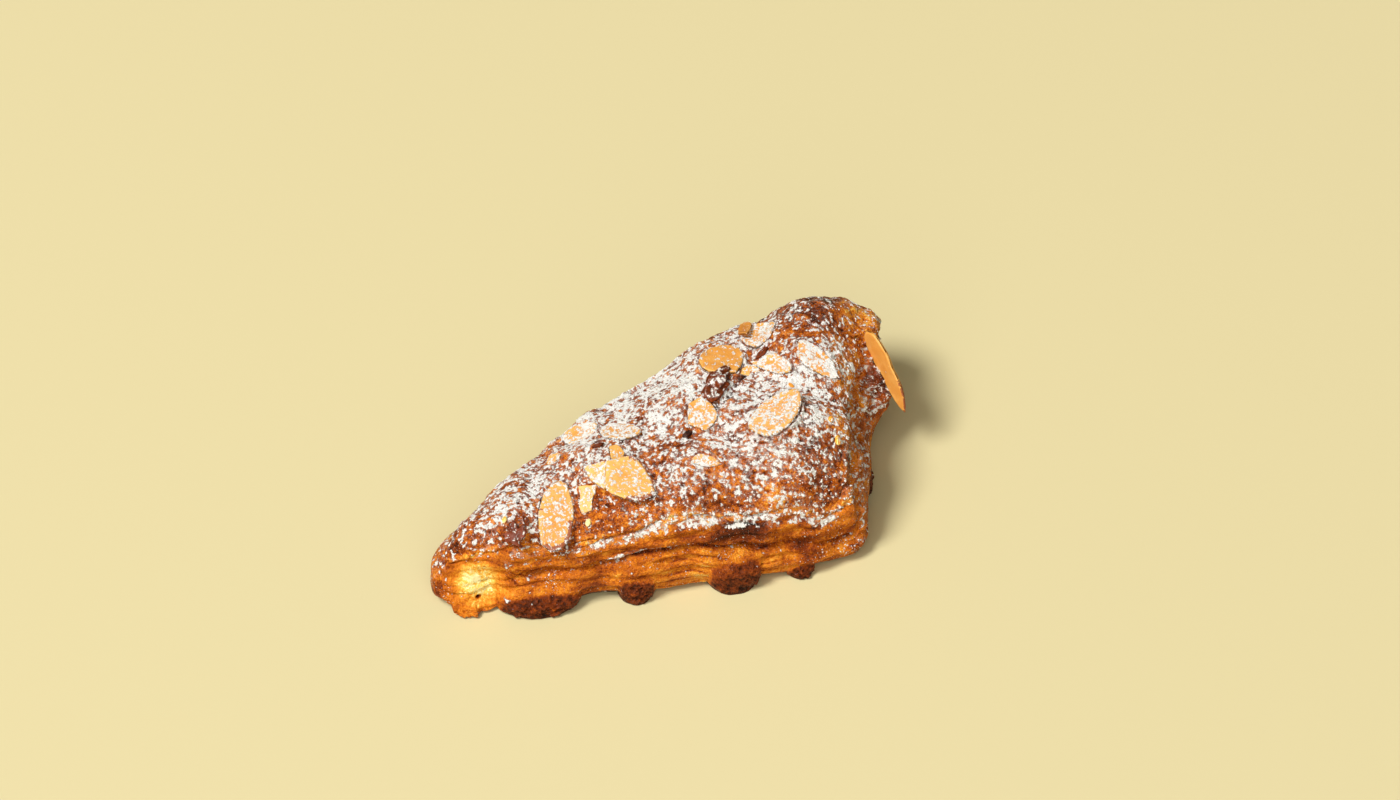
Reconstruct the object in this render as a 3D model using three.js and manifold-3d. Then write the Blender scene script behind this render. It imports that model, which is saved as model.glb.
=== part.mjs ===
// Bear claw pastry: a rolled and folded wedge of laminated dough, capped with a baked crust of
// almond cream, with sliced almonds baked into the cream.
// Millimetres, +Z up. The origin is in the flat underside, near its middle. The layered front
// side runs along +X, from the narrow rolled tip at -X to the blunt end at +X.
import * as THREE from "three";
import { mergeVertices } from "three/addons/utils/BufferGeometryUtils.js";
import Module from "manifold-3d";

const wasm = await Module();
wasm.setup();

// ---------- Driving dimensions ----------

// Widest plan outline, counter-clockwise from the tip: front, blunt end, back.
const OUTLINE = [
  [-75, -28], [-69, -33.5], [-58, -36.5], [-24, -39.5], [1, -41], [28, -41], [46, -39.5],
  [56, -35.5], [60.5, -24], [64, -7], [69, 6], [75.5, 21], [76.5, 34], [67, 43], [50, 45],
  [32, 42], [6, 31], [-24, 17.5], [-50, 1], [-66, -12], [-74, -20.5],
];
const TURN = [64, -7]; // outline point where the front half of the columns ends
const SPINE = { from: [-50, -24], to: [42, 2] }; // inner line that the columns run in to

// Height of the dough's crest along X, as [x, height].
const CREST = [[-80, 20], [-64, 24], [-44, 28], [-14, 34], [21, 39.5], [56, 42], [80, 41]];
const ROUND_EDGE = 0.8; // height of the dome's edge at the rounded end, back and tip, of the crest
// Height of its edge over the layered front, and of the crease below that, as [x, height].
const FRONT_EDGE = [
  [-72, 17], [-46, 22.5], [-26, 24], [-3, 30], [16, 27], [30, 24.5], [44, 19.5], [52, 17],
];
const CREASE = [[-70, 8], [-45, 13], [-25, 15.4], [-10, 17.5], [2, 18.6], [16, 16], [26, 13], [50, 9]];
const CREASE_SHARE = 0.4; // share of the side's rows that lie above the crease
const DOME_REACH = 22; // the dome is level this far in from its edge
const DOME_POWER = 2.2;
const EDGE_BLEND = 4; // how softly the dome's edges run into one another

// Side profiles, as [share of the height from the top down, inset from the outline].
const FRONT_PROFILE = [
  [0, 5], [0.08, 3], [0.16, 1.6], [0.32, 1.7], [0.4, 3.6], [0.48, 0.9], [0.62, 0], [0.8, 0.4],
  [0.9, 2], [1, 6],
];
const ROUND_PROFILE = [
  [0, 8.5], [0.1, 6.2], [0.25, 3.4], [0.45, 0.8], [0.6, 0], [0.8, 0.6], [0.9, 2], [1, 6],
];
const LAYER_PITCH = 4.6; // height of one bundle of dough layers
const LAYER_RELIEF = 0.45;

// Round swellings and hollows of the dome: [x, y, radius, height].
const KNOLLS = [
  [57, 29, 14, 4.2], [44, 34, 7, -2.4], [73, 38, 8, -3.6], [51, 42, 5, 2.4], [-60, -24, 9, 2.5],
  [-74, -22, 9, -7], [-60, -9, 7, 3], [-42, 3, 7, 1.6], [8, 29, 6, 1.8],
  [36, -22, 15, 1.5], [56, -32, 10, -5],
];

// Almond cream that ran out and baked on the tray: [x, y, half width, height, reach].
const DRIPS = [
  [-44, -38.5, 12.5, 9, 4.5], [-14.5, -40.5, 5.5, 11, 2.8], [15.5, -41.5, 8, 14.5, 3.8],
  [36, -41, 4.4, 6, 2], [65, -11, 5, 14, 2], [-66, -35, 4.5, 5, 1.8],
  [-12, 19, 7, 7, 3], [24, 35, 9, 9, 3.4], [70, 38, 6, 6, 2.4],
];
// Round swellings of the side, as [x, y, z, radius, reach]. The last two hold the end almond.
const SWELLINGS = [[74, 36, 34, 12, 4.5], [73, 24, 36, 7, 4], [71.5, 12, 22, 7, 7]];
const PALE_DENT = { at: [-62.5, -35.5, 11], radius: 8.5, depth: 2.4 }; // unbaked spot at the tip

// Sliced almonds on the crust. Each is [x, y, heading of its pointed end, length, width, pitch of
// that end, roll, lift, share broken off its blunt end], with angles in degrees.
const SLICES = [
  [-37.6, -27.2, -113, 23.5, 9.4, -4, 4, 0.7, 0], // leans down the front, near the tip
  [-13.9, -23, -52, 21.5, 12, 3, -8, 1.4, 0],
  [-23.2, -18.2, 108, 11, 8.2, -4, 10, -0.1, 0.25], // broken, tucked under the one before
  [-17.9, -12.6, 68, 8.5, 5.5, 26, 20, 1.2, 0.2],
  [-27.2, -25.2, 70, 9.5, 4.6, 2, -6, 0.3, 0.2],
  [-21.4, 2.6, -14, 12, 8.5, 2, 4, 0.1, 0],
  [-31.5, -6.5, -33, 7.5, 4, 6, 10, 0.2, 0.2],
  [-11.4, -5, -38, 14, 9, 3, -5, 0.1, 0],
  [22.6, 13.6, 150, 15, 12, 3, 4, 0.4, 0.08],
  [38.1, 22.8, 5, 12, 9, -8, 8, 0.9, 0],
  [34.6, 24.6, 90, 6.5, 4, -4, 4, 3.1, 0.3],
  [38.8, 7, -52, 15, 8, 4, 12, 0.5, 0.15],
  [29.8, 7.8, 125, 6, 4, 6, -10, 0.3, 0.3],
  [49.6, 5.4, -47, 17.5, 8, 0, 6, 0.1, 0],
  [33.9, -15.1, 40, 21.5, 12.5, 2, -4, 0.3, 0],
  [12, -8.1, 112, 13, 11, 4, 6, 0.3, 0.3],
  [9.2, -23.8, -26, 11, 3.8, 0, 10, 0.1, 0.2],
  [-49.6, -28.2, 60, 8.5, 7, 34, -14, 1.5, 0.2], // curled flake of almond skin
];
// Sliced almonds that lie against the sides: [centre, direction of the pointed end, facing
// direction, length, width].
const SIDE_SLICES = [
  [[74, 11.3, 29], [0.303, -0.648, -0.697], [-0.89, -0.434, 0.017], 28, 11.4], // on edge
  [[30, 40.9, 21], [0.93, 0.2, 0.3], [-0.2, 0.95, 0.2], 21, 11.5],
];
const SLICE_THICKNESS = 1.1;
const SLICE_POINTS = 16; // around a slice
const SLICE_BOW = 0.5; // rise of a slice's ends

const DARK_CRUMB = { at: [19.4, 2.8], radii: [5.4, 3.2, 3], heading: 50, lift: 1.2 };

const CREAM_THICKNESS = 2.8; // height of its upper face over the dough
const RIM_THICKNESS = 2.3; // the same at the dome's rim
const EDGE_THICKNESS = 1.1; // and at its lower edge
const CREAM_EDGE = [0.25, 0.9]; // how far down the side's first row the cream reaches
const CREAM_GAP = 0.35; // clearance between cream and dough
const POCKET_GAP = 0.35; // clearance around what is baked into them

const COLUMNS = 112; // around the pastry
const TOP_ROWS = 6;
const SIDE_ROWS = 15;
const BASE_ROWS = 2;
const SMOOTHING = 0.04; // how far facets may move when slivers are merged

// ---------- Small helpers ----------

const clamp = (v, low = 0, high = 1) => Math.min(high, Math.max(low, v));
const mix = (a, b, t) => a + (b - a) * t;
const smooth = (low, high, v) => {
  const t = clamp((v - low) / (high - low));
  return t * t * (3 - 2 * t);
};

// Reads a table of [place, value] with cosine steps between its entries.
function along(table, place) {
  const next = table.findIndex(([p]) => p > place);
  if (next < 0) return table.at(-1)[1];
  if (next === 0) return table[0][1];
  const [p0, v0] = table[next - 1];
  const [p1, v1] = table[next];
  return mix(v0, v1, (1 - Math.cos(Math.PI * ((place - p0) / (p1 - p0)))) / 2);
}

// Rolling bumps of one wavelength, from a few sine waves that run in spread directions.
function lumps(x, y, wavelength, seed, waves = 7) {
  let sum = 0;
  for (let k = 0; k < waves; k++) {
    const heading = 2.39996 * k + seed;
    const length = wavelength * (0.75 + 0.5 * ((0.618 * (k + seed)) % 1));
    const place = x * Math.cos(heading) + y * Math.sin(heading);
    sum += Math.sin((2 * Math.PI * place) / length + 1.7 * k * k);
  }
  return sum / Math.sqrt(waves / 2);
}

// ---------- Plan outline ----------

const curve = new THREE.CatmullRomCurve3(
  OUTLINE.map(([x, y]) => new THREE.Vector3(x, y, 0)), true, "catmullrom", 0.5,
);
curve.arcLengthDivisions = 2000;

// Share of the outline's length at its point nearest to a place.
function shareNear([x, y]) {
  const steps = 2000;
  let nearest = Infinity;
  let share = 0;
  for (let i = 0; i < steps; i++) {
    const p = curve.getPointAt(i / steps);
    const distance = Math.hypot(p.x - x, p.y - y);
    if (distance < nearest) {
      nearest = distance;
      share = i / steps;
    }
  }
  return share;
}

// One column around the pastry: its outline point, inward direction and spine point. The front
// and back halves pair up along the spine, so the inmost rows close like a zip.
const turn = shareNear(TURN);
function column(index) {
  const half = COLUMNS / 2;
  const front = index < half;
  const step = (index % half) / half;
  const share = front ? turn * step : turn + (1 - turn) * step;
  const point = curve.getPointAt(share);
  const tangent = curve.getTangentAt(share);
  const s = front ? step : 1 - step;
  return {
    x: point.x, y: point.y, inX: -tangent.y, inY: tangent.x,
    spineX: mix(SPINE.from[0], SPINE.to[0], s), spineY: mix(SPINE.from[1], SPINE.to[1], s),
    front: smooth(0.35, 0.85, tangent.x),
  };
}

// ---------- The dough's surface ----------

// Height of the dome over a plan point: distances in from its four edges are blended into one.
function domeHeight(x, y) {
  const inward = [
    y - (-36.5 + 0.00055 * (x - 16) ** 2), // front
    (53 + 0.28 * (y + 23) - x) * 0.963, // blunt end
    (-17.5 + 0.53 * (x + 66) - y) * 0.883, // slanting back
    37.5 - y, // back
  ];
  const pulls = inward.map((d) => Math.exp(-d / EDGE_BLEND));
  const total = pulls.reduce((a, b) => a + b);
  const distance = -EDGE_BLEND * Math.log(total);
  const crest = along(CREST, x);
  const edge = mix(crest * ROUND_EDGE, along(FRONT_EDGE, x), pulls[0] / total);
  const rise = 1 - (1 - clamp(distance / DOME_REACH)) ** DOME_POWER;
  const knolls = KNOLLS.reduce(
    (sum, [kx, ky, radius, height]) =>
      sum + height * Math.exp(-(((x - kx) ** 2 + (y - ky) ** 2) / radius ** 2)), 0,
  );
  return mix(edge, crest, rise) + knolls + 0.8 * lumps(x, y, 30, 1) + 0.3 * lumps(x, y, 14, 2);
}

// Inset of the side from the outline, at a share of the height from the top down.
function sideInset(c, share, z) {
  const bundle = c.x * 0.012 + 0.5 * lumps(c.x, c.y, 60, 3);
  const layers = LAYER_RELIEF * Math.sin((2 * Math.PI * z) / LAYER_PITCH + bundle * 2);
  let inset = mix(along(ROUND_PROFILE, share), along(FRONT_PROFILE, share), c.front);
  inset += layers * smooth(0, 0.15, share) * (1 - smooth(0.8, 0.95, share));
  inset += 0.5 * lumps(c.x, c.y + z, 19, 4) * smooth(0, 0.2, share);
  const dent = Math.hypot(c.x - PALE_DENT.at[0], c.y - PALE_DENT.at[1], z - PALE_DENT.at[2]);
  inset += PALE_DENT.depth * Math.exp(-((dent / PALE_DENT.radius) ** 4));
  for (const [sx, sy, sz, radius, reach] of SWELLINGS)
    inset -= reach * Math.exp(-((Math.hypot(c.x - sx, c.y - sy, z - sz) / radius) ** 2));
  for (const [dx, dy, halfWidth, height, reach] of DRIPS) {
    const round = Math.sqrt(clamp(1 - (Math.hypot(c.x - dx, c.y - dy) / halfWidth) ** 2));
    const drip = round * (1 - smooth(0.45 * height, height, z));
    inset = mix(inset, -reach + 0.6 * smooth(1.5, 0, z), drip);
  }
  return inset;
}

// Rows of points from the spine over the top to the rim, down the side, and under to the spine.
function doughColumn(c) {
  const rimInset = sideInset(c, 0, along(CREST, c.x) * ROUND_EDGE);
  const rimX = c.x + c.inX * rimInset;
  const rimY = c.y + c.inY * rimInset;
  const rimZ = domeHeight(rimX, rimY);
  const rows = [];
  for (let i = 0; i < TOP_ROWS; i++) {
    const out = 1 - (1 - i / TOP_ROWS) ** 1.25;
    const x = mix(c.spineX, rimX, out);
    const y = mix(c.spineY, rimY, out);
    rows.push([x, y, domeHeight(x, y)]);
  }
  const creaseZ = mix(rimZ * (1 - CREASE_SHARE), along(CREASE, c.x), c.front);
  for (let i = 0; i <= SIDE_ROWS; i++) {
    const share = i / SIDE_ROWS;
    const above = share / CREASE_SHARE;
    const below = (share - CREASE_SHARE) / (1 - CREASE_SHARE);
    const z = above < 1 ? mix(rimZ, creaseZ, above) : creaseZ * (1 - below);
    const inset = i ? sideInset(c, share, z) : rimInset;
    rows.push([c.x + c.inX * inset, c.y + c.inY * inset, z]);
  }
  const [footX, footY] = rows.at(-1);
  for (let i = 1; i <= BASE_ROWS; i++) {
    const out = 1 - i / BASE_ROWS;
    rows.push([mix(c.spineX, footX, out), mix(c.spineY, footY, out), 0]);
  }
  return rows;
}

// ---------- Meshes from rows and columns ----------

// Closes columns of points into a mesh. First and last rows meet along the spine. From turnRow on,
// the rows run back over the surface below, so their squares are split along the same diagonal.
function closedGrid(columns, turnRow = Infinity) {
  const rows = columns[0].length;
  const at = (c, r) => (c % columns.length) * rows + r;
  const index = [];
  for (let c = 0; c < columns.length; c++)
    for (let r = 0; r + 1 < rows; r++) {
      const square = [at(c, r), at(c, r + 1), at(c + 1, r + 1), at(c + 1, r)];
      const [p, q, s, t] = r < turnRow ? square : [...square.slice(1), square[0]];
      index.push(p, q, s, p, s, t);
    }
  return merged(columns.flat(2), index);
}

function merged(points, index) {
  const made = new THREE.BufferGeometry();
  made.setAttribute("position", new THREE.Float32BufferAttribute(points, 3));
  made.setIndex(index);
  return mergeVertices(made, 1e-4);
}

function solidOf(geometry) {
  return new wasm.Manifold(new wasm.Mesh({
    numProp: 3,
    vertProperties: new Float32Array(geometry.attributes.position.array),
    triVerts: new Uint32Array(geometry.index.array),
  }));
}

function geometryOf(solid) {
  const { vertProperties, triVerts } = solid.getMesh();
  const made = new THREE.BufferGeometry();
  made.setAttribute("position", new THREE.Float32BufferAttribute(vertProperties, 3));
  made.setIndex(new THREE.Uint32BufferAttribute(triVerts, 1));
  return made;
}

const columns = Array.from({ length: COLUMNS }, (_, i) => column(i));
const doughRows = columns.map(doughColumn);
const dough = closedGrid(doughRows);

// ---------- The almond cream ----------

// Unit normal of the dough's top at a grid point, from the points around it.
function normalAt(c, r) {
  if (r === 0) return new THREE.Vector3(0, 0, 1);
  const point = (cc, rr) => new THREE.Vector3(...doughRows[(cc + COLUMNS) % COLUMNS][rr]);
  const down = point(c, r + 1).sub(point(c, r - 1));
  const around = point(c + 1, r).sub(point(c - 1, r));
  return down.cross(around).normalize();
}

// The cream is a shell on the dough's top: out over its upper face, round its edge and back.
function creamColumn(c, i) {
  const upper = [];
  const lower = [];
  for (let r = 0; r <= TOP_ROWS + 1; r++) {
    const foot = new THREE.Vector3(...doughRows[i][r]);
    const normal = normalAt(i, r);
    let thickness = CREAM_THICKNESS;
    if (r === TOP_ROWS) thickness = RIM_THICKNESS;
    if (r > TOP_ROWS) {
      const rim = new THREE.Vector3(...doughRows[i][TOP_ROWS]);
      const reach = 0.5 + 0.5 * Math.tanh(1.2 * lumps(c.x, c.y, 15, 5));
      foot.lerpVectors(rim, foot, mix(...CREAM_EDGE, reach));
      thickness = EDGE_THICKNESS;
    }
    upper.push(foot.clone().addScaledVector(normal, thickness).toArray());
    lower.push(foot.clone().addScaledVector(normal, CREAM_GAP).toArray());
  }
  return [...upper, ...lower.reverse()];
}
const cream = closedGrid(columns.map(creamColumn), TOP_ROWS + 2);

// ---------- Almonds ----------

// The dome's slope over about the length of a slice gives the direction that it faces.
function facing(x, y, reach = 4) {
  const slopeX = (domeHeight(x + reach, y) - domeHeight(x - reach, y)) / (2 * reach);
  const slopeY = (domeHeight(x, y + reach) - domeHeight(x, y - reach)) / (2 * reach);
  return new THREE.Vector3(-slopeX, -slopeY, 1).normalize();
}

// Frame of a slice on the crust: along its length, across it, and out of its face.
function crustFrame([x, y, heading, , , pitch, roll, lift]) {
  const normal = facing(x, y);
  const turned = THREE.MathUtils.degToRad(heading);
  const flat = new THREE.Vector3(Math.cos(turned), Math.sin(turned), 0);
  const side = normal.clone().cross(flat).normalize();
  const frame = new THREE.Matrix4().makeBasis(side.clone().cross(normal), side, normal);
  frame.multiply(new THREE.Matrix4().makeRotationY(-THREE.MathUtils.degToRad(pitch)));
  frame.multiply(new THREE.Matrix4().makeRotationX(THREE.MathUtils.degToRad(roll)));
  const centre = new THREE.Vector3(x, y, domeHeight(x, y));
  return frame.setPosition(centre.addScaledVector(normal, CREAM_THICKNESS + lift));
}

function sideFrame([centre, pointed, out]) {
  const normal = new THREE.Vector3(...out).normalize();
  const side = normal.clone().cross(new THREE.Vector3(...pointed)).normalize();
  const frame = new THREE.Matrix4().makeBasis(side.clone().cross(normal), side, normal);
  return frame.setPosition(new THREE.Vector3(...centre));
}

// One thin, slightly bowed slice, pointed at +X and blunt or broken at -X. Its two faces are split
// alike. Grown, it is the pocket that the slice sits in.
function slice(frame, length, width, broken, grow = 0) {
  const breakAt = length * (broken - 0.5);
  const rim = Array.from({ length: SLICE_POINTS }, (_, i) => {
    const angle = (2 * Math.PI * i) / SLICE_POINTS;
    const [u, v] = [Math.cos(angle), Math.sin(angle)];
    const y = (width / 2) * Math.sign(v) * Math.abs(v) ** (1.1 + 0.3 * u) * (1 - 0.16 * u);
    const x = Math.max((length / 2) * u, broken ? breakAt + 0.25 * y : -Infinity);
    return new THREE.Vector2(x, y);
  });
  const middle = rim.reduce((sum, p) => sum.add(p), new THREE.Vector2()).divideScalar(SLICE_POINTS);
  const shares = grow ? [1] : [0.55, 1];
  const rings = shares.map((share) => rim.map((p) => {
    const arm = p.clone().sub(middle);
    return middle.clone().addScaledVector(arm, share * (1 + grow / arm.length()));
  }));
  const flat = [middle, ...rings.flat()];
  const face = (side) => flat.map((p) => {
    const bow = SLICE_BOW * ((2 * p.x) / length) ** 2;
    const height = bow + 0.15 * Math.sin(p.y + p.x / 3) + side * (SLICE_THICKNESS / 2 + grow);
    return new THREE.Vector3(p.x, p.y, height).applyMatrix4(frame).toArray();
  });
  const index = [];
  const under = flat.length;
  const both = (a, b, c) => index.push(a, b, c, c + under, b + under, a + under);
  for (let i = 0; i < SLICE_POINTS; i++) {
    const j = (i + 1) % SLICE_POINTS;
    both(0, 1 + i, 1 + j);
    for (let ring = 1; ring < rings.length; ring++) {
      const [inner, outer] = [1 + (ring - 1) * SLICE_POINTS, 1 + ring * SLICE_POINTS];
      both(inner + i, outer + i, outer + j);
      both(inner + i, outer + j, inner + j);
    }
    const edge = under - SLICE_POINTS;
    index.push(edge + i, edge + i + under, edge + j + under, edge + i, edge + j + under, edge + j);
  }
  return merged([...face(1), ...face(-1)].flat(), index);
}

const placed = [
  ...SLICES.map((row) => [crustFrame(row), row[3], row[4], row[8]]),
  ...SIDE_SLICES.map((row) => [sideFrame(row), row[3], row[4], 0]),
];
const slices = placed.map((args) => slice(...args));

// A dark, wrinkled crumb of burnt almond cream.
function darkCrumb(grow = 0) {
  const { at, radii, heading, lift } = DARK_CRUMB;
  const ball = new THREE.SphereGeometry(1, 16, 9);
  ball.deleteAttribute("normal");
  ball.deleteAttribute("uv");
  const made = mergeVertices(ball, 1e-4);
  const place = made.attributes.position;
  const p = new THREE.Vector3();
  for (let i = 0; i < place.count; i++) {
    p.fromBufferAttribute(place, i);
    const wrinkle = 1 + 0.09 * lumps(p.x * 3 + p.z * 2, p.y * 3 - p.z, 3, 6);
    p.set(...radii.map((r, k) => p.getComponent(k) * (r * wrinkle + grow)));
    place.setXYZ(i, p.x, p.y, p.z);
  }
  made.rotateZ(THREE.MathUtils.degToRad(heading));
  made.translate(at[0], at[1], domeHeight(...at) + CREAM_THICKNESS + lift);
  return made;
}

// ---------- Pockets in the cream and the dough ----------

const pockets = placed.map((args) => solidOf(slice(...args, POCKET_GAP)));
pockets.push(solidOf(darkCrumb(POCKET_GAP)));

// A solid less the pockets. Thin flakes that the pockets cut loose are left out.
function pocketed(geometry) {
  const bodies = solidOf(geometry).subtract(wasm.Manifold.union(pockets)).decompose();
  bodies.sort((a, b) => b.volume() - a.volume());
  return geometryOf(bodies[0].simplify(SMOOTHING));
}

// ---------- The whole ----------

const MATERIALS = {
  dough: new THREE.MeshStandardMaterial({ color: 0xb4621c, roughness: 0.45 }),
  cream: new THREE.MeshStandardMaterial({ color: 0x7d3d18, roughness: 0.75 }),
  almond: new THREE.MeshStandardMaterial({ color: 0xdfa350, roughness: 0.55 }),
  crumb: new THREE.MeshStandardMaterial({ color: 0x3a1c10, roughness: 0.6 }),
};

const pastry = new THREE.Group();
function addNode(name, geometry, material) {
  const mesh = new THREE.Mesh(geometry, material);
  mesh.name = name;
  pastry.add(mesh);
}

addNode("dough", pocketed(dough), MATERIALS.dough);
addNode("almond_cream", pocketed(cream), MATERIALS.cream);
slices.forEach((made, i) => {
  addNode(`almond_slice_${String(i + 1).padStart(2, "0")}`, made, MATERIALS.almond);
});
addNode("dark_crumb", darkCrumb(), MATERIALS.crumb);

export default pastry;
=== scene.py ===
# %% [markdown]
# # A bear claw pastry
#
# A wedge of laminated dough was rolled, folded and filled, capped with almond cream and sliced
# almonds, baked until its edges caught, and dusted with icing sugar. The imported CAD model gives
# the big shapes. This lesson gives them a bakery's finish: torn layers, a pebbly crust, toasted
# nuts and sugar. Lengths are in millimetres until a mesh is made, because a pastry is small.

# %% Load the frame
import math

import bpy
import numpy as np
from mathutils import Matrix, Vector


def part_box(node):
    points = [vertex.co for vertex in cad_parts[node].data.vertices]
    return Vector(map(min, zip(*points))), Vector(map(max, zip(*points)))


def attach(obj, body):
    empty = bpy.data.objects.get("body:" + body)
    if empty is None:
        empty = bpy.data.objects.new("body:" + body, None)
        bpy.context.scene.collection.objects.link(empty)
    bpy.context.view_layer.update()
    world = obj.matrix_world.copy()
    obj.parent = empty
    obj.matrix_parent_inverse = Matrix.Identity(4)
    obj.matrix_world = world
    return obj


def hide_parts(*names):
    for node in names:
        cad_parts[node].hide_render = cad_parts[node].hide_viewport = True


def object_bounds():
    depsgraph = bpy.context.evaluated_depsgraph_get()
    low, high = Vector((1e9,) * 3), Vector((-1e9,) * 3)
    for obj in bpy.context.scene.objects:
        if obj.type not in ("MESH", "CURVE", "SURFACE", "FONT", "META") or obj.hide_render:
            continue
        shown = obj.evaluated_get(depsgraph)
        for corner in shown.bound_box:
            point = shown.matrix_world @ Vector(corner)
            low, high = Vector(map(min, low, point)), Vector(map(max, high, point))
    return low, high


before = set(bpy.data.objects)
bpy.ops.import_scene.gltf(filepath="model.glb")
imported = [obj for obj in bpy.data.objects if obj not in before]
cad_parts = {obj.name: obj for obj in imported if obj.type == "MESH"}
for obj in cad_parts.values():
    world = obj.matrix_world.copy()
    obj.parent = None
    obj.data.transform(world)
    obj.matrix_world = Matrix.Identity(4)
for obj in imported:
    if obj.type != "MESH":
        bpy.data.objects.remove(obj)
cad_box = [list(corner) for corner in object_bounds()]
MM = 0.001
print("CAD box, mm:", [[round(v / MM, 1) for v in corner] for corner in cad_box])

# %% [markdown]
# ## Two kinds of tool
#
# Whatever Blender shows is an object that carries data: a mesh, a lamp, a camera. Whatever a
# surface looks like is a tree of nodes that ends in a shader. Such a tree is arithmetic on maps,
# so here a node's output adds and multiplies like a number, and each finish reads as a formula.

# %% Objects


def unit(vectors):
    """Vectors over their own lengths."""
    size = np.linalg.norm(vectors, axis=-1, keepdims=True)
    return vectors / np.maximum(size, 1e-9)


def add_object(name, data):
    """Links data into the scene as a new object."""
    made = bpy.data.objects.new(name, data)
    bpy.context.collection.objects.link(made)
    return made


def stand(placed, place, right, up, back):
    """Puts an object at a place, with its own x, y and z along three directions."""
    turn = Matrix(np.column_stack([right, up, back]).tolist())
    placed.matrix_world = Matrix.Translation(place) @ turn.to_4x4()


print("a unit vector:", unit(np.array([3.0, 0, 4.0])))

# %% Finishes


class Value:
    """A node's output that adds, subtracts and multiplies like a number."""

    def __init__(self, finish, socket):
        self.math, self.socket = finish.math, socket

    def __add__(self, other):
        return self.math("ADD", self, other)

    def __radd__(self, other):
        return self.math("ADD", other, self)

    def __sub__(self, other):
        return self.math("SUBTRACT", self, other)

    def __rsub__(self, other):
        return self.math("SUBTRACT", other, self)

    def __mul__(self, other):
        return self.math("MULTIPLY", self, other)


class Finish:
    """A material under construction. Its methods add nodes and return their outputs."""

    def __init__(self, name):
        self.material = bpy.data.materials.new(name)
        self.material.use_nodes = True
        self.tree = self.material.node_tree
        self.tree.nodes.clear()

    def node(self, kind, inputs, output=0, **settings):
        """Adds a node. Inputs and the output go by name or number, and an input may be linked."""
        made = self.tree.nodes.new(kind)
        for key, value in settings.items():
            setattr(made, key, value)
        for key, value in inputs.items():
            if isinstance(value, Value):
                self.tree.links.new(value.socket, made.inputs[key])
            else:
                made.inputs[key].default_value = value
        return Value(self, made.outputs[output])

    def math(self, operation, a, b, clamp=False):
        """A sum, product or other result of two numbers."""
        return self.node("ShaderNodeMath", {0: a, 1: b}, operation=operation, use_clamp=clamp)

    def ease(self, value, low, high):
        """A smooth step from 0 at low to 1 at high."""
        inputs = {"Value": value, "From Min": low, "From Max": high}
        return self.node("ShaderNodeMapRange", inputs, interpolation_type="SMOOTHSTEP")

    def blend(self, a, b, factor):
        """Colour a where the factor is 0, and b where it is 1."""
        return self.node("ShaderNodeMix", {0: factor, 6: a, 7: b}, 2, data_type="RGBA")

    def ramp(self, factor, stops):
        """A colour ramp with stops of (place, colour)."""
        made = self.node("ShaderNodeValToRGB", {"Fac": factor})
        elements = made.socket.node.color_ramp.elements
        while len(elements) < len(stops):
            elements.new(0.5)
        for element, (place, colour) in zip(elements, stops):
            element.position = place
            element.color = (*colour, 1)
        return made

    def noise(self, size, detail, roughness, vector=None, seed=0.0):
        """Noise with features of a size, in millimetres of the object if no vector is given."""
        if vector is None:
            vector = self.node("ShaderNodeTexCoord", {}, "Object")
            size = size * MM
        inputs = {"Vector": vector, "W": seed, "Scale": 1 / size, "Detail": detail,
                  "Roughness": roughness}
        return self.node("ShaderNodeTexNoise", inputs, "Fac", noise_dimensions="4D")

    def map(self, name, output="Fac"):
        """A map that the mesh carries as an attribute."""
        return self.node("ShaderNodeAttribute", {}, output, attribute_name=name)

    def bump(self, height, depth, strength=1.0):
        """The normal of a fine relief: height times depth, in millimetres."""
        inputs = {"Strength": strength, "Distance": depth * MM, "Height": height}
        return self.node("ShaderNodeBump", inputs)

    def done(self, inputs):
        """Ends in one Principled shader with these inputs, and returns the material."""
        surface = self.node("ShaderNodeBsdfPrincipled", inputs)
        output = self.tree.nodes.new("ShaderNodeOutputMaterial")
        self.tree.links.new(surface.socket, output.inputs["Surface"])
        return self.material


print("features of 3 mm need a noise scale of", round(1 / (3 * MM)))

# %% [markdown]
# ## The stage
#
# Food is lit from one side, so that every crumb has a bright and a dark flank. Here a small
# round lamp stands to the left, high up, and draws the shadow. A wide one in front, like a
# window behind the cook, shows the layers of the front. A dim sky, tinted by the pale floor and
# walls, fills the rest.

# %% Floor, lamps, sky and camera
FLOOR_COLOUR, FLOOR_REACH = (0.645, 0.568, 0.318, 1), 3.0
LAMP_DISTANCE, LAMP_COLOUR = 8.0, (1.0, 0.985, 0.96)
# Name, direction towards the lamp, its width as seen from the pastry in radians, and its power.
LAMPS = [
    ("key", (-0.50, -0.22, 0.84), 0.34, 690.0),
    ("window", (-0.20, -0.72, 0.65), 1.20, 410.0),
]
SKY_COLOUR, SKY_STRENGTH = (1.0, 0.85, 0.50, 1), 0.12
AZIMUTH, ELEVATION = math.radians(-12), math.radians(45)
LENS, AIM_DISTANCE = 200.0, 2.40
AIM = np.array([21.6, 39.2, 0]) * MM


def make_floor():
    """A wide, flat, pale floor, which is part of the stage."""
    mesh = bpy.data.meshes.new("floor")
    corners = [(-1, -1, 0), (1, -1, 0), (1, 1, 0), (-1, 1, 0)]
    mesh.from_pydata((np.array(corners) * FLOOR_REACH).tolist(), [], [(0, 1, 2, 3)])
    floor = add_object("floor", mesh)
    mesh.materials.append(Finish("pale_floor").done({
        "Base Color": FLOOR_COLOUR, "Roughness": 0.85,
    }))


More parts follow.
